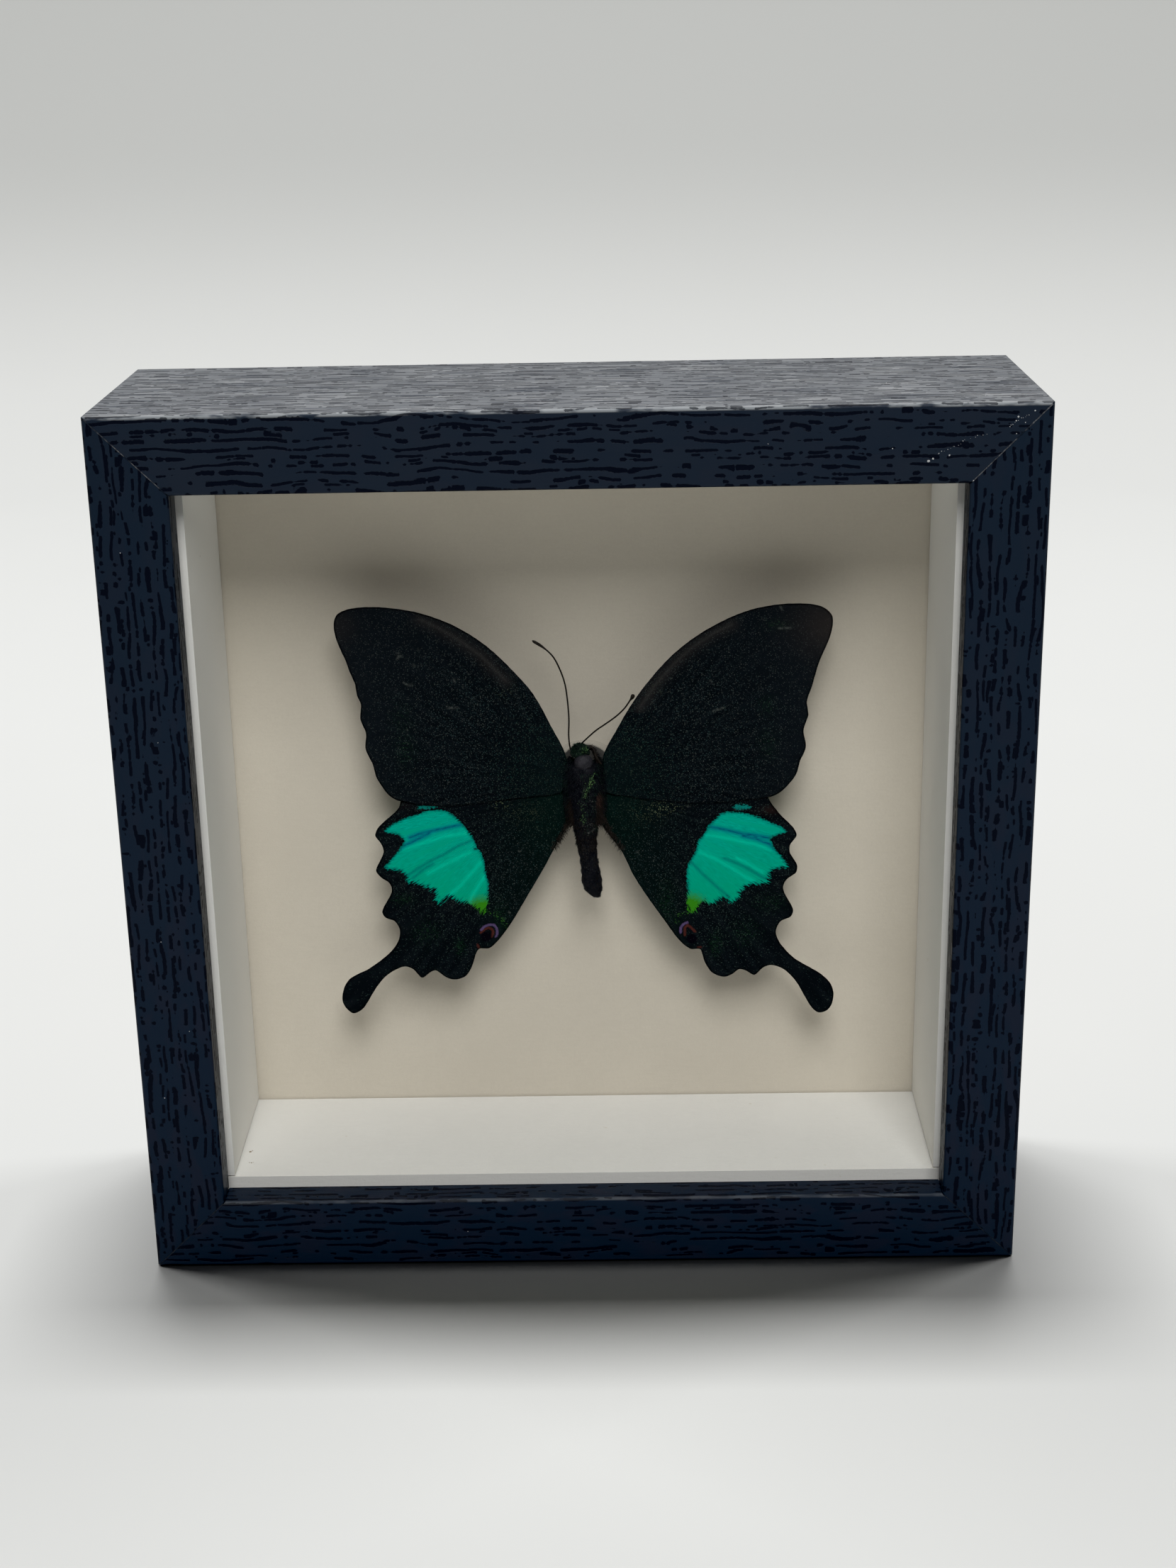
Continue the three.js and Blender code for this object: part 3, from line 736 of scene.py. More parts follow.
# Bright gold-green scales bunched along the hind wings just behind the forewings' margin.
GOLD = {
    "hindwing_left": [(-13.7, 75.4, 1.4, 0.7, 0.9), (-10.2, 73.6, 3.4, 1.8, 0.3)],
    "hindwing_right": [(15.6, 74.3, 2.4, 0.9, 0.9), (12.4, 73.4, 3.4, 1.8, 0.35)],
    "forewing_left": [(-12.2, 96.2, 1.6, 1.4, 0.25)],
    "forewing_right": [(13.8, 96.6, 1.2, 1.4, 0.3)],
}
VEIN_ROOT = {"forewing_left": (-3.2, 80.5), "forewing_right": (5.8, 80.5),
             "hindwing_left": (-3.0, 77.5), "hindwing_right": (5.2, 77.5)}
# Where the cell of each wing ends, and where each vein that leaves it meets the margin.
CELL = {"forewing_left": [(-20.5, 103.2), (-24.5, 99.5), (-23.6, 94.6), (-18.4, 88.6)],
        "forewing_right": [(20.8, 102.2), (26.3, 99.3), (25.6, 94.2), (20.6, 88.2)],
        "hindwing_left": [(-15.5, 74.6), (-20.2, 70.2), (-19.6, 66.4), (-14.2, 65.2)],
        "hindwing_right": [(17.2, 74.2), (22.6, 69.4), (21.8, 65.6), (16.4, 64.6)]}
ENDS = {
    "forewing_left": [(0, (-32, 111.3)), (0, (-37.5, 111.3)), (0, (-41, 108)), (1, (-39.2, 101.4)),
                      (1, (-37.9, 96.4)), (2, (-37.3, 92.6)), (2, (-36.8, 87.6)), (3, (-35.5, 82.3))],
    "forewing_right": [(0, (33.5, 110.7)), (0, (39.5, 111)), (0, (44, 107.6)), (1, (42.3, 101.6)),
                       (1, (41, 97)), (2, (40, 93)), (2, (39.7, 88)), (3, (39, 83))],
    "hindwing_left": [(0, (-31, 76.6)), (0, (-35.9, 70)), (1, (-36.1, 63.2)), (1, (-35.3, 55.2)),
                      (2, (-32.6, 50.6)), (2, (-41.8, 37.6)), (3, (-28.8, 42.6)), (3, (-24, 42.2))],
    "hindwing_right": [(0, (33.2, 76.4)), (0, (38.4, 69)), (1, (38.6, 62.6)), (1, (38, 54.6)),
                       (2, (35.2, 50.2)), (2, (43.6, 36.6)), (3, (31.2, 42)), (3, (25.8, 41.8))],
}
# The pale line behind the leading edge of each forewing.
COSTAL = {
    "left": [(-26.5, 109.4), (-24.5, 108.5), (-22, 107), (-19.5, 105.4), (-16, 102.6), (-12, 98.2)],
    "right": [(27, 107.7), (24, 106.3), (20, 103.6), (17, 100.8), (14, 97.4), (11, 93)],
}
# Pale scratches through the scales: each a short line.
SCRATCHES = {
    "forewing_left": [((-30.5, 103.5), (-30.3, 102.9), (-30.6, 102.3)), ((-30.3, 102.9), (-29.8, 103)),
                      ((-27.9, 101.3), (-27.7, 101)), ((-29.7, 98.1), (-28.9, 97.7), (-28.2, 97.7)),
                      ((-21, 98.7), (-20.8, 98.2)), ((-22.4, 93.6), (-20.6, 93.4))],
    "forewing_right": [((35.2, 110.6), (35.5, 110.2)), ((35, 106.8), (36, 106.9), (37.2, 107)),
                       ((23.3, 97.7), (23.5, 97.2)), ((23.8, 92.2), (24.8, 92.5), (25.6, 92.7))],
    "hindwing_left": [((-10.6, 66.5), (-10.5, 66.3)), ((-12.7, 54.7), (-12.6, 54.5))],
    "hindwing_right": [((19.4, 74.5), (19.6, 74.4)), ((10.4, 66), (10.5, 65.8))],
}


def ovals(points, marks):
    """The summed strength of soft oval marks at each point."""
    total = np.zeros(len(points))
    for x, z, across, up, strength in marks:
        off = ((points[:, 0] - x) / across) ** 2 + ((points[:, 1] - z) / up) ** 2
        total += strength * np.exp(-off)
    return np.clip(total, 0, 1)


def nearest(points, lines):
    """The distance from each point to the nearest of several lines."""
    best = np.full(len(points), 1e9)
    for line in lines:
        best = np.minimum(best, distance_to(points, line))
    return best


def vein_lines(node):
    """The veins of a wing: the cell's two edges and end, and those that run on to the margin."""
    root = np.array(VEIN_ROOT[node])
    cell = np.array(CELL[node])
    upper = spline([root, (root * 2 + cell[0]) / 3 + (0, 0.5), cell[0]], 6)
    lower = spline([root, (root * 2 + cell[3]) / 3 - (0, 0.5), cell[3]], 6)
    lines = [upper, lower, spline(cell, 4)]
    for start, end in ENDS[node]:
        end = np.array(end)
        bow = (cell[start] - root) / np.linalg.norm(cell[start] - root)
        middle = cell[start] * 0.55 + end * 0.45 + bow * 0.5
        lines.append(spline([cell[start], middle, end], 6))
    return lines


def wing_fields(node, points, outline):
    """Everything the wing material reads, worked out at each point of the wing."""
    kind, side = node.split("_")
    root = np.array(VEIN_ROOT[node])
    offset = points - root
    reach = np.linalg.norm(offset, axis=1)
    veins = nearest(points, vein_lines(node))
    fields = {
        "margin": np.clip(distance_to(points, outline, closed=True), 0, 4),
        "vein": ridge(veins, 0.42),
        "reach": reach,
        "turn": np.arctan2(offset[:, 1], np.abs(offset[:, 0])) * 20,
        "near_root": np.clip(1 - reach / (17 if kind == "forewing" else 15), 0, 1),
        "cloud": ovals(points, CLOUDS[node]),
        "gold": ovals(points, GOLD[node]),
        "scratch": ridge(nearest(points, SCRATCHES[node]), 0.13),
    }
    if kind == "forewing":
        fields.update(forewing_fields(side, points, reach, veins))
    else:
        fields.update(hindwing_fields(side, points, root, reach, veins))
    return fields


def forewing_fields(side, points, reach, veins):
    """The pale line behind the leading edge, the brown along it and at the tip, and the dust."""
    costal = distance_to(points, COSTAL[side])
    tip, size, strength = {"left": ((-41, 108.5), (3.4, 3.4), 0.4),
                           "right": ((45, 107.5), (6.4, 5.0), 1.0)}[side]
    away = np.linalg.norm((points - tip) / size, axis=1)
    band_from, middle = 92, 1            # up the frame, and across it
    brown = np.where(points[:, 1] > band_from, ridge(costal, 1.3) * 0.42, 0)
    inner = np.clip((36 - np.abs(points[:, 0] - middle)) / 12, 0, 1)
    return {
        "costal": ridge(costal, 0.24),
        "brown": brown + np.exp(-away ** 2) * strength,
        "outer": np.clip((reach - 22) / 18, 0, 1),
        "dust": np.clip(0.46 + 0.34 * inner - 0.25 * ridge(veins, 0.4), 0, 1),
    }


def hindwing_fields(side, points, root, reach, veins):
    """The emerald patch with its streaks, the eye spot, and where dust and warm scales lie."""
    patch = spline(PATCH[side], 4, closed=True)
    blob = spline(BLOB[side], 4, closed=True)
    corner = np.linalg.norm((points - GREEN_CORNER[side]) / (3.4, 2.9), axis=1)
    fields = {
        "patch": np.clip(depth_in(points, patch), -3, 5),
        "blob": np.clip(depth_in(points, blob), -3, 3),
        "trail": ridge(distance_to(points, TRAIL[side]), 0.36),
        "corner": np.exp(-corner ** 2),
    }
    for name, lines, width in (("blue", BLUE, 0.42), ("teal", TEAL, 0.26), ("crease", CREASE, 0.36)):
        fields[name] = ridge(nearest(points, lines[side]), width)
    eye = EYE[side]
    mauve = distance_to(points, eye["mauve"])
    rust = ridge(distance_to(points, eye["rust"]), 0.30)
    fields["mauve"] = ridge(mauve, 0.34)
    fields["rust"] = np.maximum(rust, ridge(distance_to(points, eye["margin"]), 0.34) * 0.9)
    fields["pupil"] = ridge(np.linalg.norm(points - eye["centre"], axis=1), 1.2)
    # Dust lies thickest round the patch and in a wedge from the root to the eye spot.
    wedge = ridge(distance_to(points, (root, eye["centre"])), 8.5)
    halo = ridge(distance_to(points, patch, closed=True), 4.5)
    outside = np.clip(-fields["patch"] / 0.4, 0, 1)
    dust = (0.26 + 0.30 * wedge + 0.36 * halo) * outside
    fields["dust"] = np.clip(dust - 0.2 * ridge(veins, 0.4) - ridge(mauve, 1.6), 0, 1)
    fields["fringe"] = np.clip((reach - 21) / 7, 0, 1) * np.clip((64.5 - points[:, 1]) / 4, 0, 1)
    fields["inner"] = np.clip(1 - np.abs(points[:, 0] - root[0]) / 17, 0, 1) * wedge
    fields["lower"] = np.clip((70 - points[:, 1]) / 14, 0, 1)
    shoulder, strength = ((-31, 75.4), 0.25) if side == "left" else ((34.2, 73.6), 0.8)
    away = np.linalg.norm((points - shoulder) / (1.9, 0.8), axis=1)
    fields["warm"] = strength * np.exp(-away ** 2)
    return fields


def wing_relief(node, points, fields):
    """How far each point of the wing stands out towards the glass, in millimetres.

    The forewing's lower margin and the top of the hind wing come close, but don't cross.
    """
    lift = 0.025 * fields["vein"] + 0.10 * wander(points, 7, 1) + 0.05 * wander(points, 2.2, 2)
    if node.startswith("forewing"):
        lift += 0.06 * fields["costal"]
        lower = np.clip(1 - fields["margin"] / 2.5, 0, 1) * (points[:, 1] < VEIN_ROOT[node][1] + 3)
        lift -= 0.22 * lower
        return np.clip(lift, -0.22, 0.25)
    lift += 0.10 * np.clip((points[:, 1] - 72) / 3, 0, 1)
    lift += 0.08 * fields["crease"] - 0.05 * fields["blue"] - 0.05 * fields["teal"]
    return np.clip(lift, -0.2, 0.2)


def emerald_color(wing, depth, lime, blur, hairs, folds, away, pick):
    """The colours within the emerald patch, from its ground up, at a depth from its ragged edge."""
    blue = wing.value_of("blue")
    core = wing.times(wing.step(blue, 0.70, 0.98), wing.step(hairs, 0.40, 0.65))
    scales = wing.times(wing.step(away, 0.30, 0.10), wing.step(pick, 0.93, 0.97))
    return wing.layers(
        wing.mix(wing.step(hairs, 0.3, 0.7), (0.0002, 0.330, 0.240), (0.0004, 0.460, 0.335)),
        (wing.step(folds, 0.45, 0.7), (0.0002, 0.395, 0.265)),
        (wing.times(wing.value_of("lower"), 0.7), (0.0002, 0.370, 0.190)),
        (wing.times(wing.value_of("crease"), wing.span(hairs, 0.3, 1.0)), (0.0020, 0.600, 0.400)),
        (wing.times(blue, wing.span(hairs, 0.35, 1.25)), (0.0008, 0.115, 0.230)),
        (wing.times(core, 0.7), (0.0004, 0.030, 0.080)),
        (wing.times(wing.value_of("teal"), wing.span(blur, 0.3, 0.9)), (0.0004, 0.100, 0.130)),
        (wing.times(wing.step(depth, 0.55, 0.05), wing.less(lime)), (0.0004, 0.190, 0.150)),
        (lime, (0.0360, 0.240, 0.0090)),
        (wing.times(scales, 0.5), (0.0400, 0.560, 0.430)))


def hindwing_marks(wing, color, blur, hairs, folds, away, pick):
    """The emerald patch, its blob and green trail, the eye spot and the warm scales, over a colour."""
    def torn(name, share):
        """A field with its edges made ragged."""
        return wing.add(wing.value_of(name), wing.times(wing.add(blur, -0.5), share))

    teeth = wing.times(wing.add(hairs, -0.5), wing.span(wing.value_of("fringe"), 0.8, 3.6))
    depth = wing.add(torn("patch", 0.9), teeth)
    edge = wing.step(depth, -0.08, 0.12)
    outside = wing.less(edge)
    lime = wing.step(torn("corner", 0.5), 0.20, 0.90)
    upper = wing.times(wing.step(torn("blob", 1.6), -0.15, 0.3), wing.span(blur, 0.3, 1.1))
    trail = wing.times(wing.value_of("trail"), wing.times(wing.step(blur, 0.46, 0.60), outside))
    return wing.layers(
        color,
        (edge, emerald_color(wing, depth, lime, blur, hairs, folds, away, pick)),
        (upper, (0.0040, 0.260, 0.220)),
        (wing.times(trail, wing.step(away, 0.55, 0.25)), (0.0400, 0.160, 0.0100)),
        (wing.times(wing.step(torn("rust", 0.4), 0.35, 0.85), 0.9), (0.0760, 0.0200, 0.0150)),
        (wing.times(wing.step(torn("mauve", 0.5), 0.4, 0.95), 0.9), (0.1150, 0.0780, 0.1850)),
        (wing.step(wing.value_of("pupil"), 0.35, 0.7), (0.0020, 0.0016, 0.0040)),
        (wing.times(wing.times(wing.value_of("warm"), outside), 0.6), (0.0260, 0.0120, 0.0090)))


def wing_material(name, hind):
    """Velvet black scales dusted with green, and on the hind wings the emerald patch and eye spot."""
    wing = Shader(name)
    x, _, z = wing.split(wing.place())
    flat = wing.join(x, z, 0.0)
    blur = wing.noise(flat, 0.42, 3, 0.6)
    rays = wing.join(wing.value_of("reach"), wing.value_of("turn"), 0.0)
    hairs = wing.noise(wing.stretch(rays, (1.3, 0.13, 1)), 1, 2)
    folds = wing.noise(wing.stretch(rays, (9, 0.8, 1)), 1, 2)
    patches = wing.noise(flat, 6.5, 2)

    near_root = wing.value_of("near_root")
    dust = wing.add(wing.value_of("dust"), wing.times(wing.add(folds, -0.5), 0.45))
    away, own = wing.cells(flat, 0.27)
    shade, pick, tone = wing.split(own)
    chosen = wing.step(wing.add(dust, wing.times(pick, -1.0)), -0.04, 0.1)
    dots = wing.times(wing.step(away, 0.52, 0.20), chosen)
    dots = wing.times(dots, wing.span(wing.math("POWER", shade, 1.5), 0.25, 1.25))
    base = wing.mix(patches, (0.0020, 0.0036, 0.0050), (0.0034, 0.0050, 0.0068))
    base = wing.mix(wing.step(folds, 0.42, 0.62), base, (0.0044, 0.0066, 0.0086))
    cool = wing.mix(tone, (0.0200, 0.0380, 0.0400), (0.0420, 0.0480, 0.0450))
    green = wing.mix(tone, (0.0110, 0.0380, 0.0330), (0.0340, 0.0480, 0.0340))
    speck = wing.mix(wing.step(near_root, 0.05, 0.55), cool, green)
    if hind:
        inner = wing.value_of("inner")
        base = wing.mix(wing.times(inner, 0.8), base, (0.0020, 0.0082, 0.0062))
        speck = wing.mix(wing.times(wing.step(inner, 0.5, 0.1), 0.6), speck, (0.0260, 0.0470, 0.0400))
    else:
        outer = wing.value_of("outer")
        base = wing.mix(outer, base, (0.0062, 0.0086, 0.0112))
        speck = wing.mix(wing.times(outer, 0.6), speck, (0.0300, 0.0320, 0.0320))
    color = wing.mix(dots, base, speck)
    color = wing.mix(wing.times(wing.step(near_root, 0.3, 0.95), 0.35), color, (0.0040, 0.0110, 0.0100))
    gold = wing.times(wing.value_of("gold"), wing.step(away, 0.5, 0.2))
    gold = wing.times(gold, wing.step(pick, 0.40, 0.65))
    color = wing.mix(wing.times(gold, 0.8), color, (0.17, 0.20, 0.11))
    haze_and_sheen = wing.times(wing.value_of("cloud"), wing.step(blur, 0.40, 0.68))
    haze_and_sheen = wing.times(haze_and_sheen, wing.span(wing.step(away, 0.55, 0.25), 0.25, 1.0))
    color = wing.mix(haze_and_sheen, color, (0.0140, 0.0640, 0.0180))

    if hind:
        color = hindwing_marks(wing, color, blur, hairs, folds, away, pick)
    else:
        brown = wing.times(wing.value_of("brown"), wing.span(blur, 0.55, 1.1))
        color = wing.layers(color, (wing.math("MINIMUM", brown, 0.75), (0.0300, 0.0260, 0.0250)),
                            (wing.times(wing.value_of("costal"), 0.5), (0.0360, 0.0340, 0.0330)))
    margin = wing.step(wing.value_of("margin"), 0.40, 0.05)
    margin = wing.times(margin, wing.span(wing.step(wing.value_of("reach"), 30, 20), 0.8, 0.1))
    color = wing.mix(margin, color, (0.0016, 0.0014, 0.0016))
    scratch = wing.times(wing.value_of("scratch"), wing.step(blur, 0.30, 0.55))
    color = wing.mix(wing.times(scratch, 0.5), color, (0.11, 0.12, 0.11))

    height = wing.add(wing.times(wing.less(away), 0.5), wing.times(hairs, 0.5))
    return wing.finish(color, 0.8, wing.bump(height, 0.015), Specular_IOR_Level=0.03)


def make_wings():
    """Each wing as a thin solid within its node's outline, with a slightly frayed margin."""
    materials = {"forewing": wing_material("forewing_velvet", False),
                 "hindwing": wing_material("hindwing_velvet", True)}
    fray, fray_size = 0.04, 0.7
    for node in VEIN_ROOT:
        kind, side = node.split("_")
        outline = even(spline(cap_outline(node), 5, closed=True), WING_SPACING, closed=True)
        sway = [wander(outline, fray_size, 5), wander(outline, fray_size, 6)]
        outline = outline + fray * np.column_stack(sway)
        points, triangles = fill(outline, WING_SPACING)
        fields = wing_fields(node, points, outline)
        middle = (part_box(node)[0].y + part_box(node)[1].y) / 2 / MM
        front = middle - WING_THICKNESS / 2 - wing_relief(node, points, fields)
        solid, faces = sheet_solid(points, triangles, front, WING_THICKNESS)
        piece = make_piece(f"{side}_{kind}", solid, faces, materials[kind], f"{kind}_scales", (node,))
        for name, values in fields.items():
            store(piece, name, np.tile(values, 2))


# ---------------------------------------------------------------- the body

def body_sections():
    """The rings of the body node from tail to head: z, middle x, half width, middle y, half depth."""
    spots = np.array([vertex.co for vertex in NODES["butterfly_body"].data.vertices]).round(6) / MM
    rings = []
    for z in sorted(set(spots[:, 2])):
        ring = spots[spots[:, 2] == z]
        low, high = ring.min(0), ring.max(0)
        rings.append((z, (low[0] + high[0]) / 2, (high[0] - low[0]) / 2,
                      (low[1] + high[1]) / 2, (high[1] - low[1]) / 2))
    return np.array(rings)


class BodyShape:
    """The butterfly's body: a skin round the sections of its node, with segments and swellings."""

    abdomen_top, segment = 70, 1.75
    thorax_low, thorax_high = 71, 83

    def __init__(self):
        self.rings = spline(body_sections(), 8)
        self.z = self.rings[:, 0]
        self.low, self.high = self.z[0], self.z[-1]

    def ring(self, z):
        return [np.interp(z, self.z, self.rings[:, k]) for k in range(1, 5)]

    def point(self, z, angle):
        """A point on the skin. Angle 0 faces the glass, and 90 degrees the right."""
        x, half_width, y, half_depth = self.ring(z)
        swell = 1.0
        if z < self.abdomen_top:
            swell += 0.035 * math.cos((z - self.low) / self.segment * 2 * math.pi)
        if self.thorax_low < z < self.thorax_high:
            share = (z - self.thorax_low) / (self.thorax_high - self.thorax_low)
            swell += 0.05 * math.cos(3 * angle) * math.sin(share * math.pi)
        swell += 0.05 * noise.noise(Vector((z * 0.9, math.cos(angle) * 2, math.sin(angle) * 2)))
        swell += 0.03 * noise.noise(Vector((z * 3.1, math.cos(angle) * 6, math.sin(angle) * 6)))
        return np.array((x + half_width * swell * math.sin(angle),
                         y - half_depth * swell * math.cos(angle), z))

    def frame_at(self, z, angle):
        """The skin's point, outward direction and direction towards the tail."""
        here = self.point(z, angle)
        up = self.point(z + 0.15, angle) - here
        round_it = self.point(z, angle + 0.1) - here
        out = np.cross(up, round_it)
        out /= np.linalg.norm(out)
        x, _, y, _ = self.ring(z)
        if out @ (here - np.array((x, y, z))) < 0:
            out = -out
        return here, out, -up / np.linalg.norm(up)


def tube(path, radii, sides):
    """Points and faces of a closed round tube along a path with a radius at each point."""
    path = np.asarray(path, float)
    tangents = np.gradient(path, axis=0)
    tangents /= np.linalg.norm(tangents, axis=1)[:, None]
    aside = np.cross(tangents[0], (0.3, 0.9, 0.2))
    points = []
    for centre, tangent, radius in zip(path, tangents, radii):
        aside = aside - tangent * (aside @ tangent)
        aside /= np.linalg.norm(aside)
        over = np.cross(tangent, aside)
        for s in range(sides):
            angle = 2 * math.pi * s / sides
            points.append(centre + radius * (math.cos(angle) * aside + math.sin(angle) * over))
    return points, tube_faces(len(path), sides)


def skin_material(name, dark, light, spot, roughness=0.6, level=0.2):
    """Body skin under scales: mottled at two scales, with scattered bright scales."""
    skin = Shader(name)
    here = skin.place()
    coarse = skin.noise(here, 1.1, 3)
    fine = skin.noise(here, 0.28, 3, 0.6)
    away, own = skin.cells(here, 0.34)
    pick = skin.split(own)[0]
    color = skin.mix(skin.step(coarse, 0.35, 0.68), dark, light)
    scales = skin.times(skin.step(away, 0.55, 0.2), skin.step(pick, 0.72, 0.85))
    color = skin.mix(skin.times(scales, 0.75), color, spot)
    height = skin.add(fine, skin.times(skin.less(away), 0.6))
    return skin.finish(color, roughness, skin.bump(height, 0.12), Specular_IOR_Level=level)


def hair_material(name, dark, light):
    """Hairs and narrow scales, each lighter or darker than its neighbours."""
    hair = Shader(name)
    tone = hair.value_of("tone")
    grain = hair.noise(hair.place(), 0.4, 2)
    color = hair.mix(tone, dark, light)
    color = hair.mix(hair.times(grain, 0.3), color, dark)
    return hair.finish(color, 0.6, Specular_IOR_Level=0.10)


def hair(root, out, trail, length, width, lay, rng):
    """One hair: a three-sided spike that leaves the skin and bends over towards its trail."""
    sunk, scatter = 0.06, 0.16
    lean = out * (1 - lay) + trail * lay + rng.normal(0, scatter, 3)
    lean /= np.linalg.norm(lean)
    bend = lean * 0.6 + trail * 0.4
    bend /= np.linalg.norm(bend)
    middle = root + lean * length * 0.5
    path = [root - out * sunk, middle, middle + bend * length * 0.5]
    return tube(path, [width, width * 0.8, width * 0.15], 3)


def make_coated(name, material, parts, tones):
    """Joins hairs or scales of the insect in one piece, with a tone for each of them."""
    points, faces = merge(parts)
    piece = make_piece(name, points, faces, material, "insect_body")
    store(piece, "tone", np.repeat(tones, [len(part[0]) for part in parts]))


def make_coat(name, material, count, seed, body, z_range, angles, length, width, lay):
    """A coat of hairs over part of the body's skin. Angles are in degrees from the front."""
    rng = np.random.default_rng(seed)
    parts, tones = [], []
    for _ in range(count):
        z = rng.uniform(*z_range)
        angle = math.radians(rng.uniform(*angles))
        root, out, trail = body.frame_at(z, angle)
        size = length * rng.uniform(0.7, 1.3)
        parts.append(hair(root, out, trail, size, width * rng.uniform(0.7, 1.2), lay, rng))
        tones.append(rng.uniform(0, 1) ** 1.6)
    make_coated(name, material, parts, tones)


def make_tuft(name, material, count, seed, line, direction, depth, length, width, fan=0.25):
    """A tuft of hairs that spring from a line (x, z) and run in one direction."""
    rng = np.random.default_rng(seed)
    line = np.asarray(line, float)
    heading = np.array(direction, float)
    heading /= np.linalg.norm(heading)
    to_glass = np.array((0, -1.0, 0))
    parts, tones = [], []
    for _ in range(count):
        share = rng.uniform(0, len(line) - 1)
        k = min(int(share), len(line) - 2)
        spot = line[k] + (line[k + 1] - line[k]) * (share - k) + rng.normal(0, 0.25, 2)
        root = np.array((spot[0], rng.uniform(*depth), spot[1]))
        trail = heading + rng.normal(0, fan, 3)
        trail /= np.linalg.norm(trail)
        parts.append(hair(root, to_glass, trail, length * rng.uniform(0.6, 1.3), width, 0.8, rng))
        tones.append(rng.uniform(0, 1))
    make_coated(name, material, parts, tones)


def ellipsoid(centre, radii, rows=20, sides=28, rough=0.0, seed=0):
    """A closed rounded body, roughened a little by noise."""
    points = [(centre[0], centre[1], centre[2] - radii[2])]
    for k in range(1, rows):
        polar = math.pi * k / rows
        flat = math.sin(polar)
        for s in range(sides):
            turn = 2 * math.pi * s / sides
            way = Vector((flat * math.cos(turn), flat * math.sin(turn), -math.cos(polar)))
            swell = 1 + rough * noise.noise(way * 3 + Vector((seed, 0, 0)))
            points.append(tuple(centre[i] + radii[i] * way[i] * swell for i in range(3)))
    points.append((centre[0], centre[1], centre[2] + radii[2]))
    last, top = 1 + (rows - 2) * sides, len(points) - 1
    faces = [(0, 1 + (s + 1) % sides, 1 + s) for s in range(sides)]
    faces += rings_joined(rows - 1, sides, 1)
    faces += [(last + s, last + (s + 1) % sides, top) for s in range(sides)]
    return points, faces


def make_body():
    """The body's skin, its coats and tufts of hair, the shoulders, the bright scales and the head."""
    body = BodyShape()
    rows, sides, inset = 190, 56, 0.05
    points = []
    for k in range(rows + 1):
        z = body.low + inset + (body.high - body.low - 2 * inset) * k / rows
        points += [body.point(z, 2 * math.pi * s / sides) for s in range(sides)]
    dark_skin = skin_material("body_skin", (0.0030, 0.0036, 0.0062), (0.0120, 0.0125, 0.0165),
                              (0.0340, 0.0410, 0.0420), 0.7, 0.06)
    faces = tube_faces(rows + 1, sides)
    make_piece("body", points, faces, dark_skin, "insect_body", ("butterfly_body",))

    black_hair = hair_material("black_hair", (0.0024, 0.0032, 0.0056), (0.0150, 0.0180, 0.0270))
    green_hair = hair_material("green_hair", (0.0030, 0.0070, 0.0070), (0.0300, 0.0620, 0.0440))
    brown_hair = hair_material("brown_hair", (0.0052, 0.0043, 0.0042), (0.0350, 0.0270, 0.0230))
    warm_hair = hair_material("warm_hair", (0.0160, 0.0100, 0.0085), (0.1000, 0.0600, 0.0480))

    make_coat("abdomen_coat", black_hair, 2600, 11, body, (57.8, 71), (-110, 110), 0.34, 0.035, 0.75)
    make_coat("abdomen_dust", brown_hair, 900, 12, body, (58, 71.5), (-110, 110), 0.30, 0.045, 0.6)
    make_coat("waist_coat", brown_hair, 900, 15, body, (67.0, 73.5), (-100, 100), 0.5, 0.04, 0.6)
    make_coat("thorax_coat", black_hair, 2400, 13, body, (70, 82.0), (-115, 115), 0.62, 0.035, 0.6)
    make_coat("thorax_green", green_hair, 500, 14, body, (70.5, 82), (-10, 100), 0.5, 0.05, 0.65)
    make_tuft("hair_right", brown_hair, 520, 21, [(3.3, 78), (3.2, 75), (3.4, 72.4)],
              (0.62, 0, -0.8), (3.6, 4.6), 1.7, 0.04)
    make_tuft("hair_left", brown_hair, 300, 22, [(-0.8, 77), (-0.9, 74.5), (-0.6, 72)],
              (-0.55, 0, -0.85), (3.8, 4.6), 1.5, 0.04)
    make_tuft("hair_warm", warm_hair, 190, 23, [(3.1, 77.7), (3.5, 76.6), (3.6, 75.8)],
              (0.35, 0, -0.9), (3.4, 3.9), 0.9, 0.035)
    make_tuft("fringe_left", brown_hair, 420, 24, [(-1.3, 73.2), (-2.8, 70.2), (-4.6, 67.2)],
              (0.30, 0, -0.95), (5.1, 5.7), 1.0, 0.035)
    make_tuft("fringe_right", brown_hair, 420, 25, [(4.3, 73.0), (5.8, 69.9), (7.8, 67.0)],
              (-0.30, 0, -0.95), (5.1, 5.7), 1.0, 0.035)
    make_shoulders(dark_skin, black_hair, green_hair)
    make_scales(body)
    make_head(green_hair, brown_hair)


def make_shoulders(skin, black_hair, green_hair):
    """The furry sides of the thorax, which the wing bases enter."""
    size, trail = (1.25, 1.15, 6.0), (0, -0.2, -0.9)
    for side, x, seed in (("left", -1.15, 41), ("right", 3.65, 43)):
        centre = (x, 5.6, 77.8)
        points, faces = ellipsoid(centre, size, 40, 28, 0.16, seed)
        make_piece("shoulder_" + side, points, faces, skin, "insect_body")
        make_pelt("shoulder_fur_" + side, black_hair, centre, size, 1500, seed, trail, (0.4, 0.8))
        make_pelt("shoulder_down_" + side, green_hair, centre, size, 700, seed + 1, trail, (0.4, 0.7))


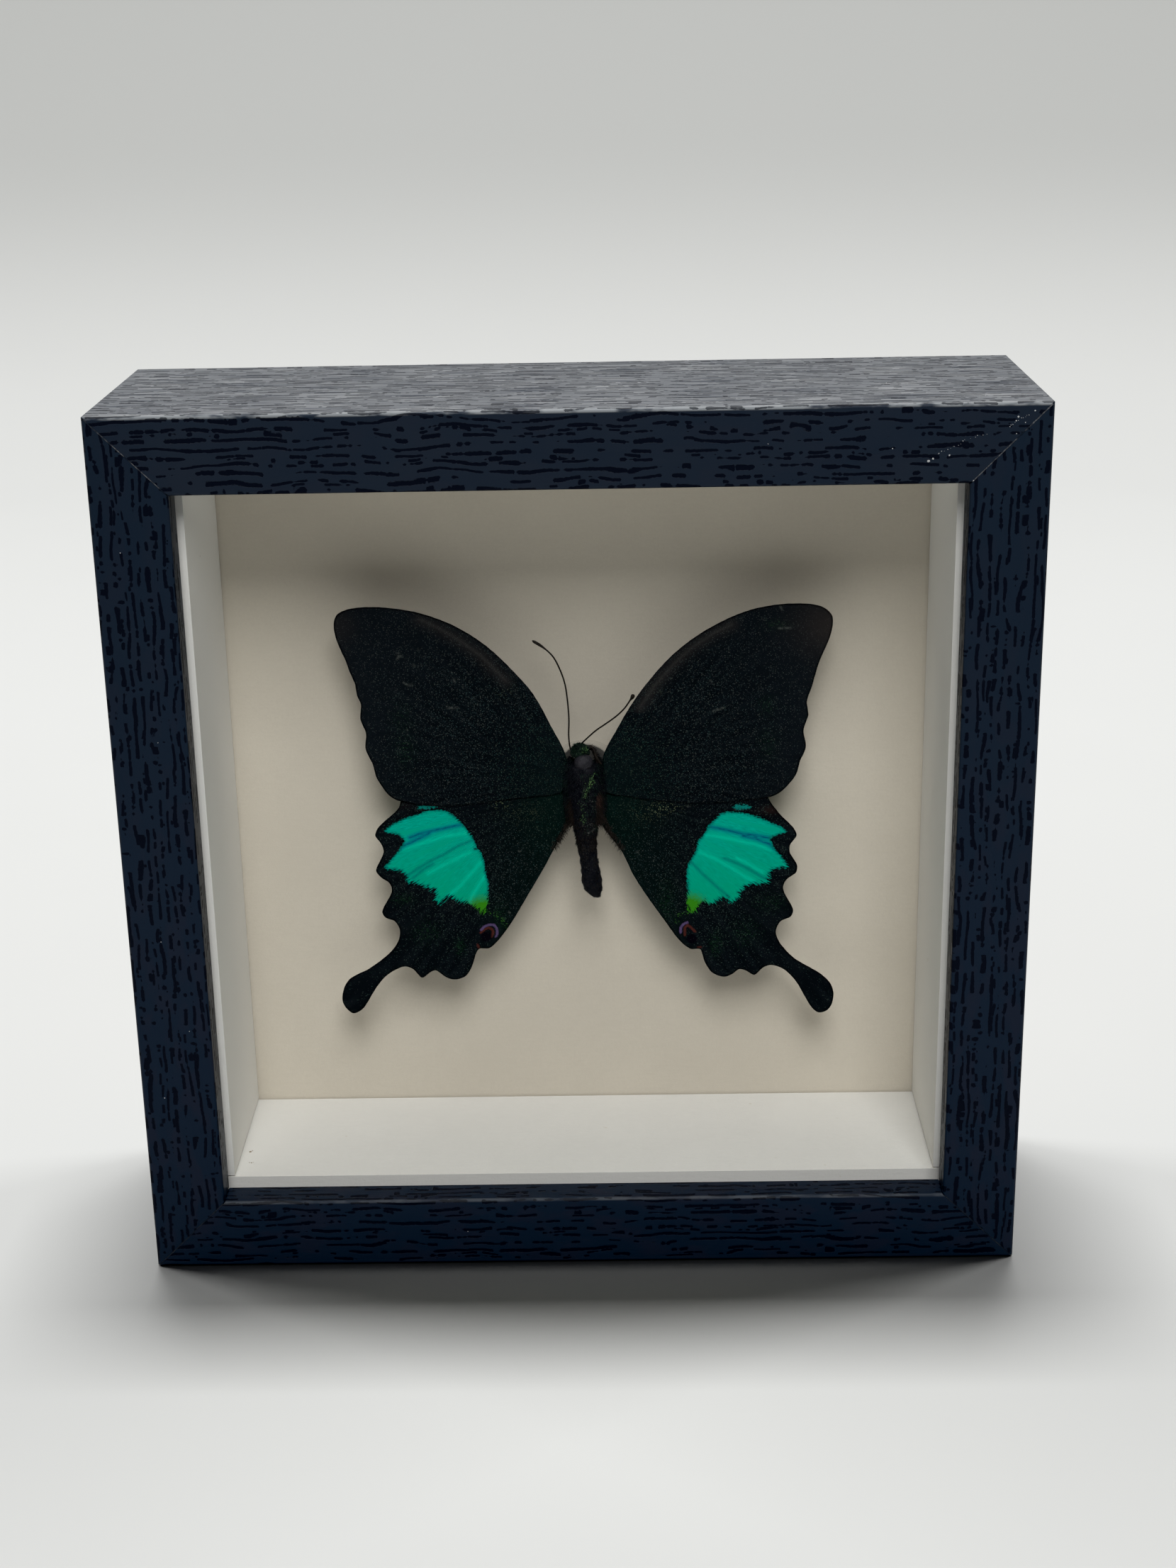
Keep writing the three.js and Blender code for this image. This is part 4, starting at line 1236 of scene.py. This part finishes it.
def make_pelt(name, material, centre, size, count, seed, trail, lengths, lowest=0.0):
    """Hairs all over the front of an ellipsoid, above a lowest height."""
    rng = np.random.default_rng(seed)
    width, lay = 0.04, 0.35
    parts, tones = [], []
    for _ in range(count):
        way = rng.normal(0, 1, 3)
        way[1] = -abs(way[1])
        way /= np.linalg.norm(way)
        root = np.array(centre) + way * size
        out = way / size
        out /= np.linalg.norm(out)
        if root[2] < lowest:
            continue
        parts.append(hair(root, out, np.array(trail, float), rng.uniform(*lengths), width, lay, rng))
        tones.append(rng.uniform(0, 1) ** 1.5)
    make_coated(name, material, parts, tones)


# Bright scales on the thorax and the abdomen: (x, z) from, (x, z) to, spread, count, sizes.
SCALE_BANDS = {
    "gold": [((2.75, 81.3), (2.1, 79.6), 0.42, 46, (0.09, 0.17)),
             ((2.0, 79.8), (1.1, 77.6), 0.40, 34, (0.07, 0.14)),
             ((0.7, 76.6), (1.0, 72.6), 0.42, 46, (0.06, 0.12)),
             ((1.6, 86.3), (1.2, 85.5), 0.45, 30, (0.06, 0.11))],
    "pale": [((1.6, 70.4), (2.9, 71.3), 0.30, 34, (0.07, 0.13)),
             ((0.8, 72.4), (2.6, 72.0), 0.45, 26, (0.06, 0.10)),
             ((2.2, 77.4), (3.2, 73.2), 0.50, 30, (0.06, 0.11)),
             ((1.1, 82.2), (0.9, 58.6), 1.10, 90, (0.04, 0.08))],
}


def make_scales(body):
    """Scales that catch the light, each a thin flake standing just off the fur."""
    materials = {"gold": hair_material("gold_scales", (0.0100, 0.0420, 0.0200), (0.1500, 0.2700, 0.1000)),
                 "pale": hair_material("pale_scales", (0.0180, 0.0240, 0.0260), (0.1500, 0.1600, 0.1400))}
    rng = np.random.default_rng(61)
    head_from, gap = 84, 0.24
    for kind, bands in SCALE_BANDS.items():
        parts, tones = [], []
        for start, end, spread, count, sizes in bands:
            start, end = np.array(start), np.array(end)
            for _ in range(count):
                spot = start + (end - start) * rng.uniform() + rng.normal(0, spread * 0.6, 2)
                if spot[1] > head_from:
                    root = np.array((spot[0], 3.0 + 0.35 * (spot[0] - 0.6) ** 2, spot[1]))
                    out = np.array((0.2, -0.95, 0.2))
                else:
                    x, half_width, _, _ = body.ring(spot[1])
                    angle = math.asin(min(max((spot[0] - x) / half_width, -0.95), 0.95))
                    root, out, _ = body.frame_at(spot[1], angle)
                tilt = out + rng.normal(0, 0.25, 3)
                tilt /= np.linalg.norm(tilt)
                parts.append(flake(root + out * gap, rng.uniform(*sizes), tilt, int(rng.integers(1000))))
                tones.append(rng.uniform(0, 1))
        make_coated(kind + "_scales", materials[kind], parts, tones)


LEGS = [
    ([(1.9, 4.8, 86.0), (2.6, 4.5, 86.0), (3.1, 4.3, 85.3), (3.2, 4.3, 84.5), (3.7, 4.4, 83.6),
      (4.2, 4.7, 82.8)], 0.27),
    ([(2.0, 5.0, 85.5), (2.6, 4.8, 85.4), (2.9, 4.7, 84.7), (3.3, 4.6, 83.8), (3.6, 4.8, 82.9)], 0.18),
]


def make_head(green_hair, brown_hair):
    """The head with its furry crown and eyes, the bare shining collar, and the folded fore legs."""
    slot = "insect_body"
    crown_skin = skin_material("head_skin", (0.0035, 0.0070, 0.0070), (0.0160, 0.0340, 0.0230),
                               (0.0600, 0.1200, 0.0650), 0.7, 0.08)
    centre, size = (0.56, 4.35, 85.4), (1.44, 1.35, 1.38)
    make_piece("head", *ellipsoid(centre, size, 26, 36, 0.10, 3), crown_skin, slot)
    collar_skin = skin_material("collar_shell", (0.0110, 0.0110, 0.0165), (0.0230, 0.0220, 0.0290),
                                (0.0340, 0.0340, 0.0410), 0.52, 0.28)
    collar = ellipsoid((1.15, 3.42, 83.65), (1.62, 1.34, 1.45), 24, 34, 0.03, 5)
    make_piece("collar", *collar, collar_skin, slot)
    eye_skin = Shader("eye_horn")
    facets, _ = eye_skin.cells(eye_skin.place(), 0.09)
    color = eye_skin.mix(facets, (0.0050, 0.0040, 0.0035), (0.0160, 0.0130, 0.0110))
    eye_skin = eye_skin.finish(color, 0.25, eye_skin.bump(facets, 0.02), Specular_IOR_Level=0.5)
    eyes = merge([ellipsoid((centre[0] + way * 1.15, 4.7, 85.0), (0.62, 0.8, 0.8), 16, 22)
                  for way in (-1, 1)])
    make_piece("eyes", *eyes, eye_skin, slot)
    make_pelt("head_fur", green_hair, centre, size, 900, 31, (0.1, -0.2, -0.4), (0.25, 0.5), 84.6)

    legs = []
    for path, radius in LEGS:
        line = spline(path, 8)
        legs.append(tube(line, np.linspace(radius, radius * 0.7, len(line)), 10))
    horn = skin_material("leg_horn", (0.0040, 0.0032, 0.0030), (0.0180, 0.0130, 0.0100), (0.06, 0.04, 0.03))
    make_piece("fore_legs", *merge(legs), horn, slot)
    make_tuft("leg_hair", brown_hair, 170, 33, [(2.4, 86.0), (3.1, 85.4), (3.3, 84.6), (3.9, 83.5)],
              (0.5, -0.1, 0.5), (4.2, 4.9), 0.42, 0.035, 0.5)


ANTENNA_LINES = {
    "antenna_left": [(-0.85, 4.2, 84.9), (-1.2, 4.4, 86.3), (-1.35, 4.4, 88.2), (-1.25, 4.3, 91.2),
                     (-1.4, 4.3, 94.2), (-1.8, 4.4, 97.5), (-2.6, 4.5, 100.1), (-3.8, 4.6, 102.5),
                     (-5.5, 4.6, 104.2), (-7.3, 4.6, 105.4)],
    "antenna_right": [(0.7, 4.6, 86.5), (2.2, 4.4, 88), (3.5, 4.2, 89.2), (5, 4, 90.3), (7, 3.9, 91.8),
                      (8.4, 3.8, 93.2), (9.4, 3.6, 94.7), (9.8, 3.2, 95.4), (9.9, 2.5, 95.9)],
}


def make_antennae():
    """Thin ringed shafts that swell to a club at the end."""
    horn = grainy_material("antenna_horn", 0.3, 3, (0.0030, 0.0024, 0.0020), (0.0140, 0.0100, 0.0070),
                           0.5, 0.03, 0.15)
    shaft, segment, sides = 0.145, 0.42, 12
    clubs = {"antenna_left": 0.27, "antenna_right": 0.36}
    for node, line in ANTENNA_LINES.items():
        path = even(spline(line, 12), 0.07)
        travelled = path_lengths(path)
        share = travelled / travelled[-1]
        swell = np.clip((share - 0.86) / 0.09, 0, 1)
        swell = swell * swell * (3 - 2 * swell)
        end = np.sqrt(np.clip((1 - share) / 0.02, 0.02, 1))
        rings = 1 - 0.10 * np.abs(np.cos(travelled / segment * math.pi)) ** 6
        radii = (shaft + (clubs[node] - shaft) * swell) * rings * end
        name = node.replace("antenna_", "feeler_")
        make_piece(name, *tube(path, radii, sides), horn, "antenna_horn", (node,))


# ---------------------------------------------------------------- small marks of wear

def flake(centre, size, normal, seed):
    """A tiny irregular flake lying on a flat face, with its upper face a little smaller."""
    rng = np.random.default_rng(seed)
    centre, normal = np.array(centre), np.array(normal, float)
    one = np.cross(normal, (0.31, 0.57, 0.76))
    one /= np.linalg.norm(one)
    two = np.cross(normal, one)
    sides, thickness, taper = 7, 0.12, 0.2
    ring = [rng.uniform(0.55, 1.0) * np.array((math.cos(a), math.sin(a)))
            for a in np.arange(sides) / sides * 2 * math.pi]
    base = [centre + size * (p[0] * one + p[1] * two) for p in ring]
    top = [b + normal * size * thickness - (b - centre) * taper for b in base]
    faces = [tuple(reversed(range(sides))), tuple(range(sides, 2 * sides))]
    return base + top, faces + rings_joined(2, sides)


def make_specks():
    """White dust and chips on the front of the frame, and a scrape by the top right corner."""
    front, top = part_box("rail_top")[0].y / MM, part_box("rail_top")[1].z / MM
    spots = [(55.8, 141.0, 0.30), (56.5, 141.4, 0.20), (59.0, 141.9, 0.20), (50.2, 143.1, 0.14),
             (69.4, 147.7, 0.20), (69.1, 147.1, 0.16), (71.9, 148.6, 0.16), (62.9, 137.9, 0.12),
             (69.2, 145.1, 0.10), (70.5, 146.8, 0.10), (-70.6, 128.5, 0.12), (-67.2, 97, 0.10),
             (-69.5, 62, 0.12), (-66, 45.5, 0.09), (-71.2, 33, 0.12), (-20.2, 6.3, 0.10), (31, 144.1, 0.09)]
    parts = [flake((x, front, z), size, (0, -1, 0), k) for k, (x, z, size) in enumerate(spots)]
    dust = [(-55.1, -8.2), (-41.2, -15.3), (-22, -19.6), (51.3, -3.8), (65.2, -17.1), (-62.4, -15.2),
            (8.3, 6.4), (28.8, -12.7), (-8.8, 14.5), (40.1, 15.2)]
    parts += [flake((x, y, top), 0.12, (0, 0, 1), 30 + k) for k, (x, y) in enumerate(dust)]
    rng = np.random.default_rng(5)
    scrapes = [spline([(56.8, 141.8), (59.4, 143.2), (62, 144.4), (64.6, 145.2)], 12),
               spline([(68.2, 146.2), (69.4, 147.2), (70.8, 147.9)], 8)]
    for k, (x, z) in enumerate(np.vstack(scrapes)):
        if rng.uniform() < 0.55:
            spot = (x + rng.normal(0, 0.10), front, z + rng.normal(0, 0.10))
            parts.append(flake(spot, rng.uniform(0.04, 0.10), (0, -1, 0), 50 + k))
    chalk = grainy_material("pale_chips", 0.2, 2, (0.30, 0.31, 0.32), (0.60, 0.61, 0.61), 0.8, 0.02)
    make_piece("chips", *merge(parts), chalk, "moulding_foil")


def make_stains():
    """Small brown stains inside the box, on the bottom spacer and its left wall."""
    sill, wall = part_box("spacer_bottom")[1].z / MM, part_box("spacer_left")[1].x / MM
    spots = [(-60.3, -6.1, 0.34), (-60.0, -5.7, 0.16), (-59.9, -10.1, 0.16), (-59.5, -10.2, 0.20),
             (-59.2, -10.0, 0.12)]
    parts = [flake((x, y, sill), size, (0, 0, 1), 90 + k) for k, (x, y, size) in enumerate(spots)]
    parts.append(flake((wall, -3.6, 123.1), 0.14, (1, 0, 0), 97))
    stain = grainy_material("brown_stain", 0.15, 2, (0.20, 0.14, 0.08), (0.42, 0.34, 0.24), 0.9, 0.01)
    make_piece("stains", *merge(parts), stain, "spacer_card")


# ---------------------------------------------------------------- everything together

make_camera()
make_floor()
make_lights()
dress_rails()
make_mitres()
dress_box()
make_wings()
make_body()
make_antennae()
make_specks()
make_stains()
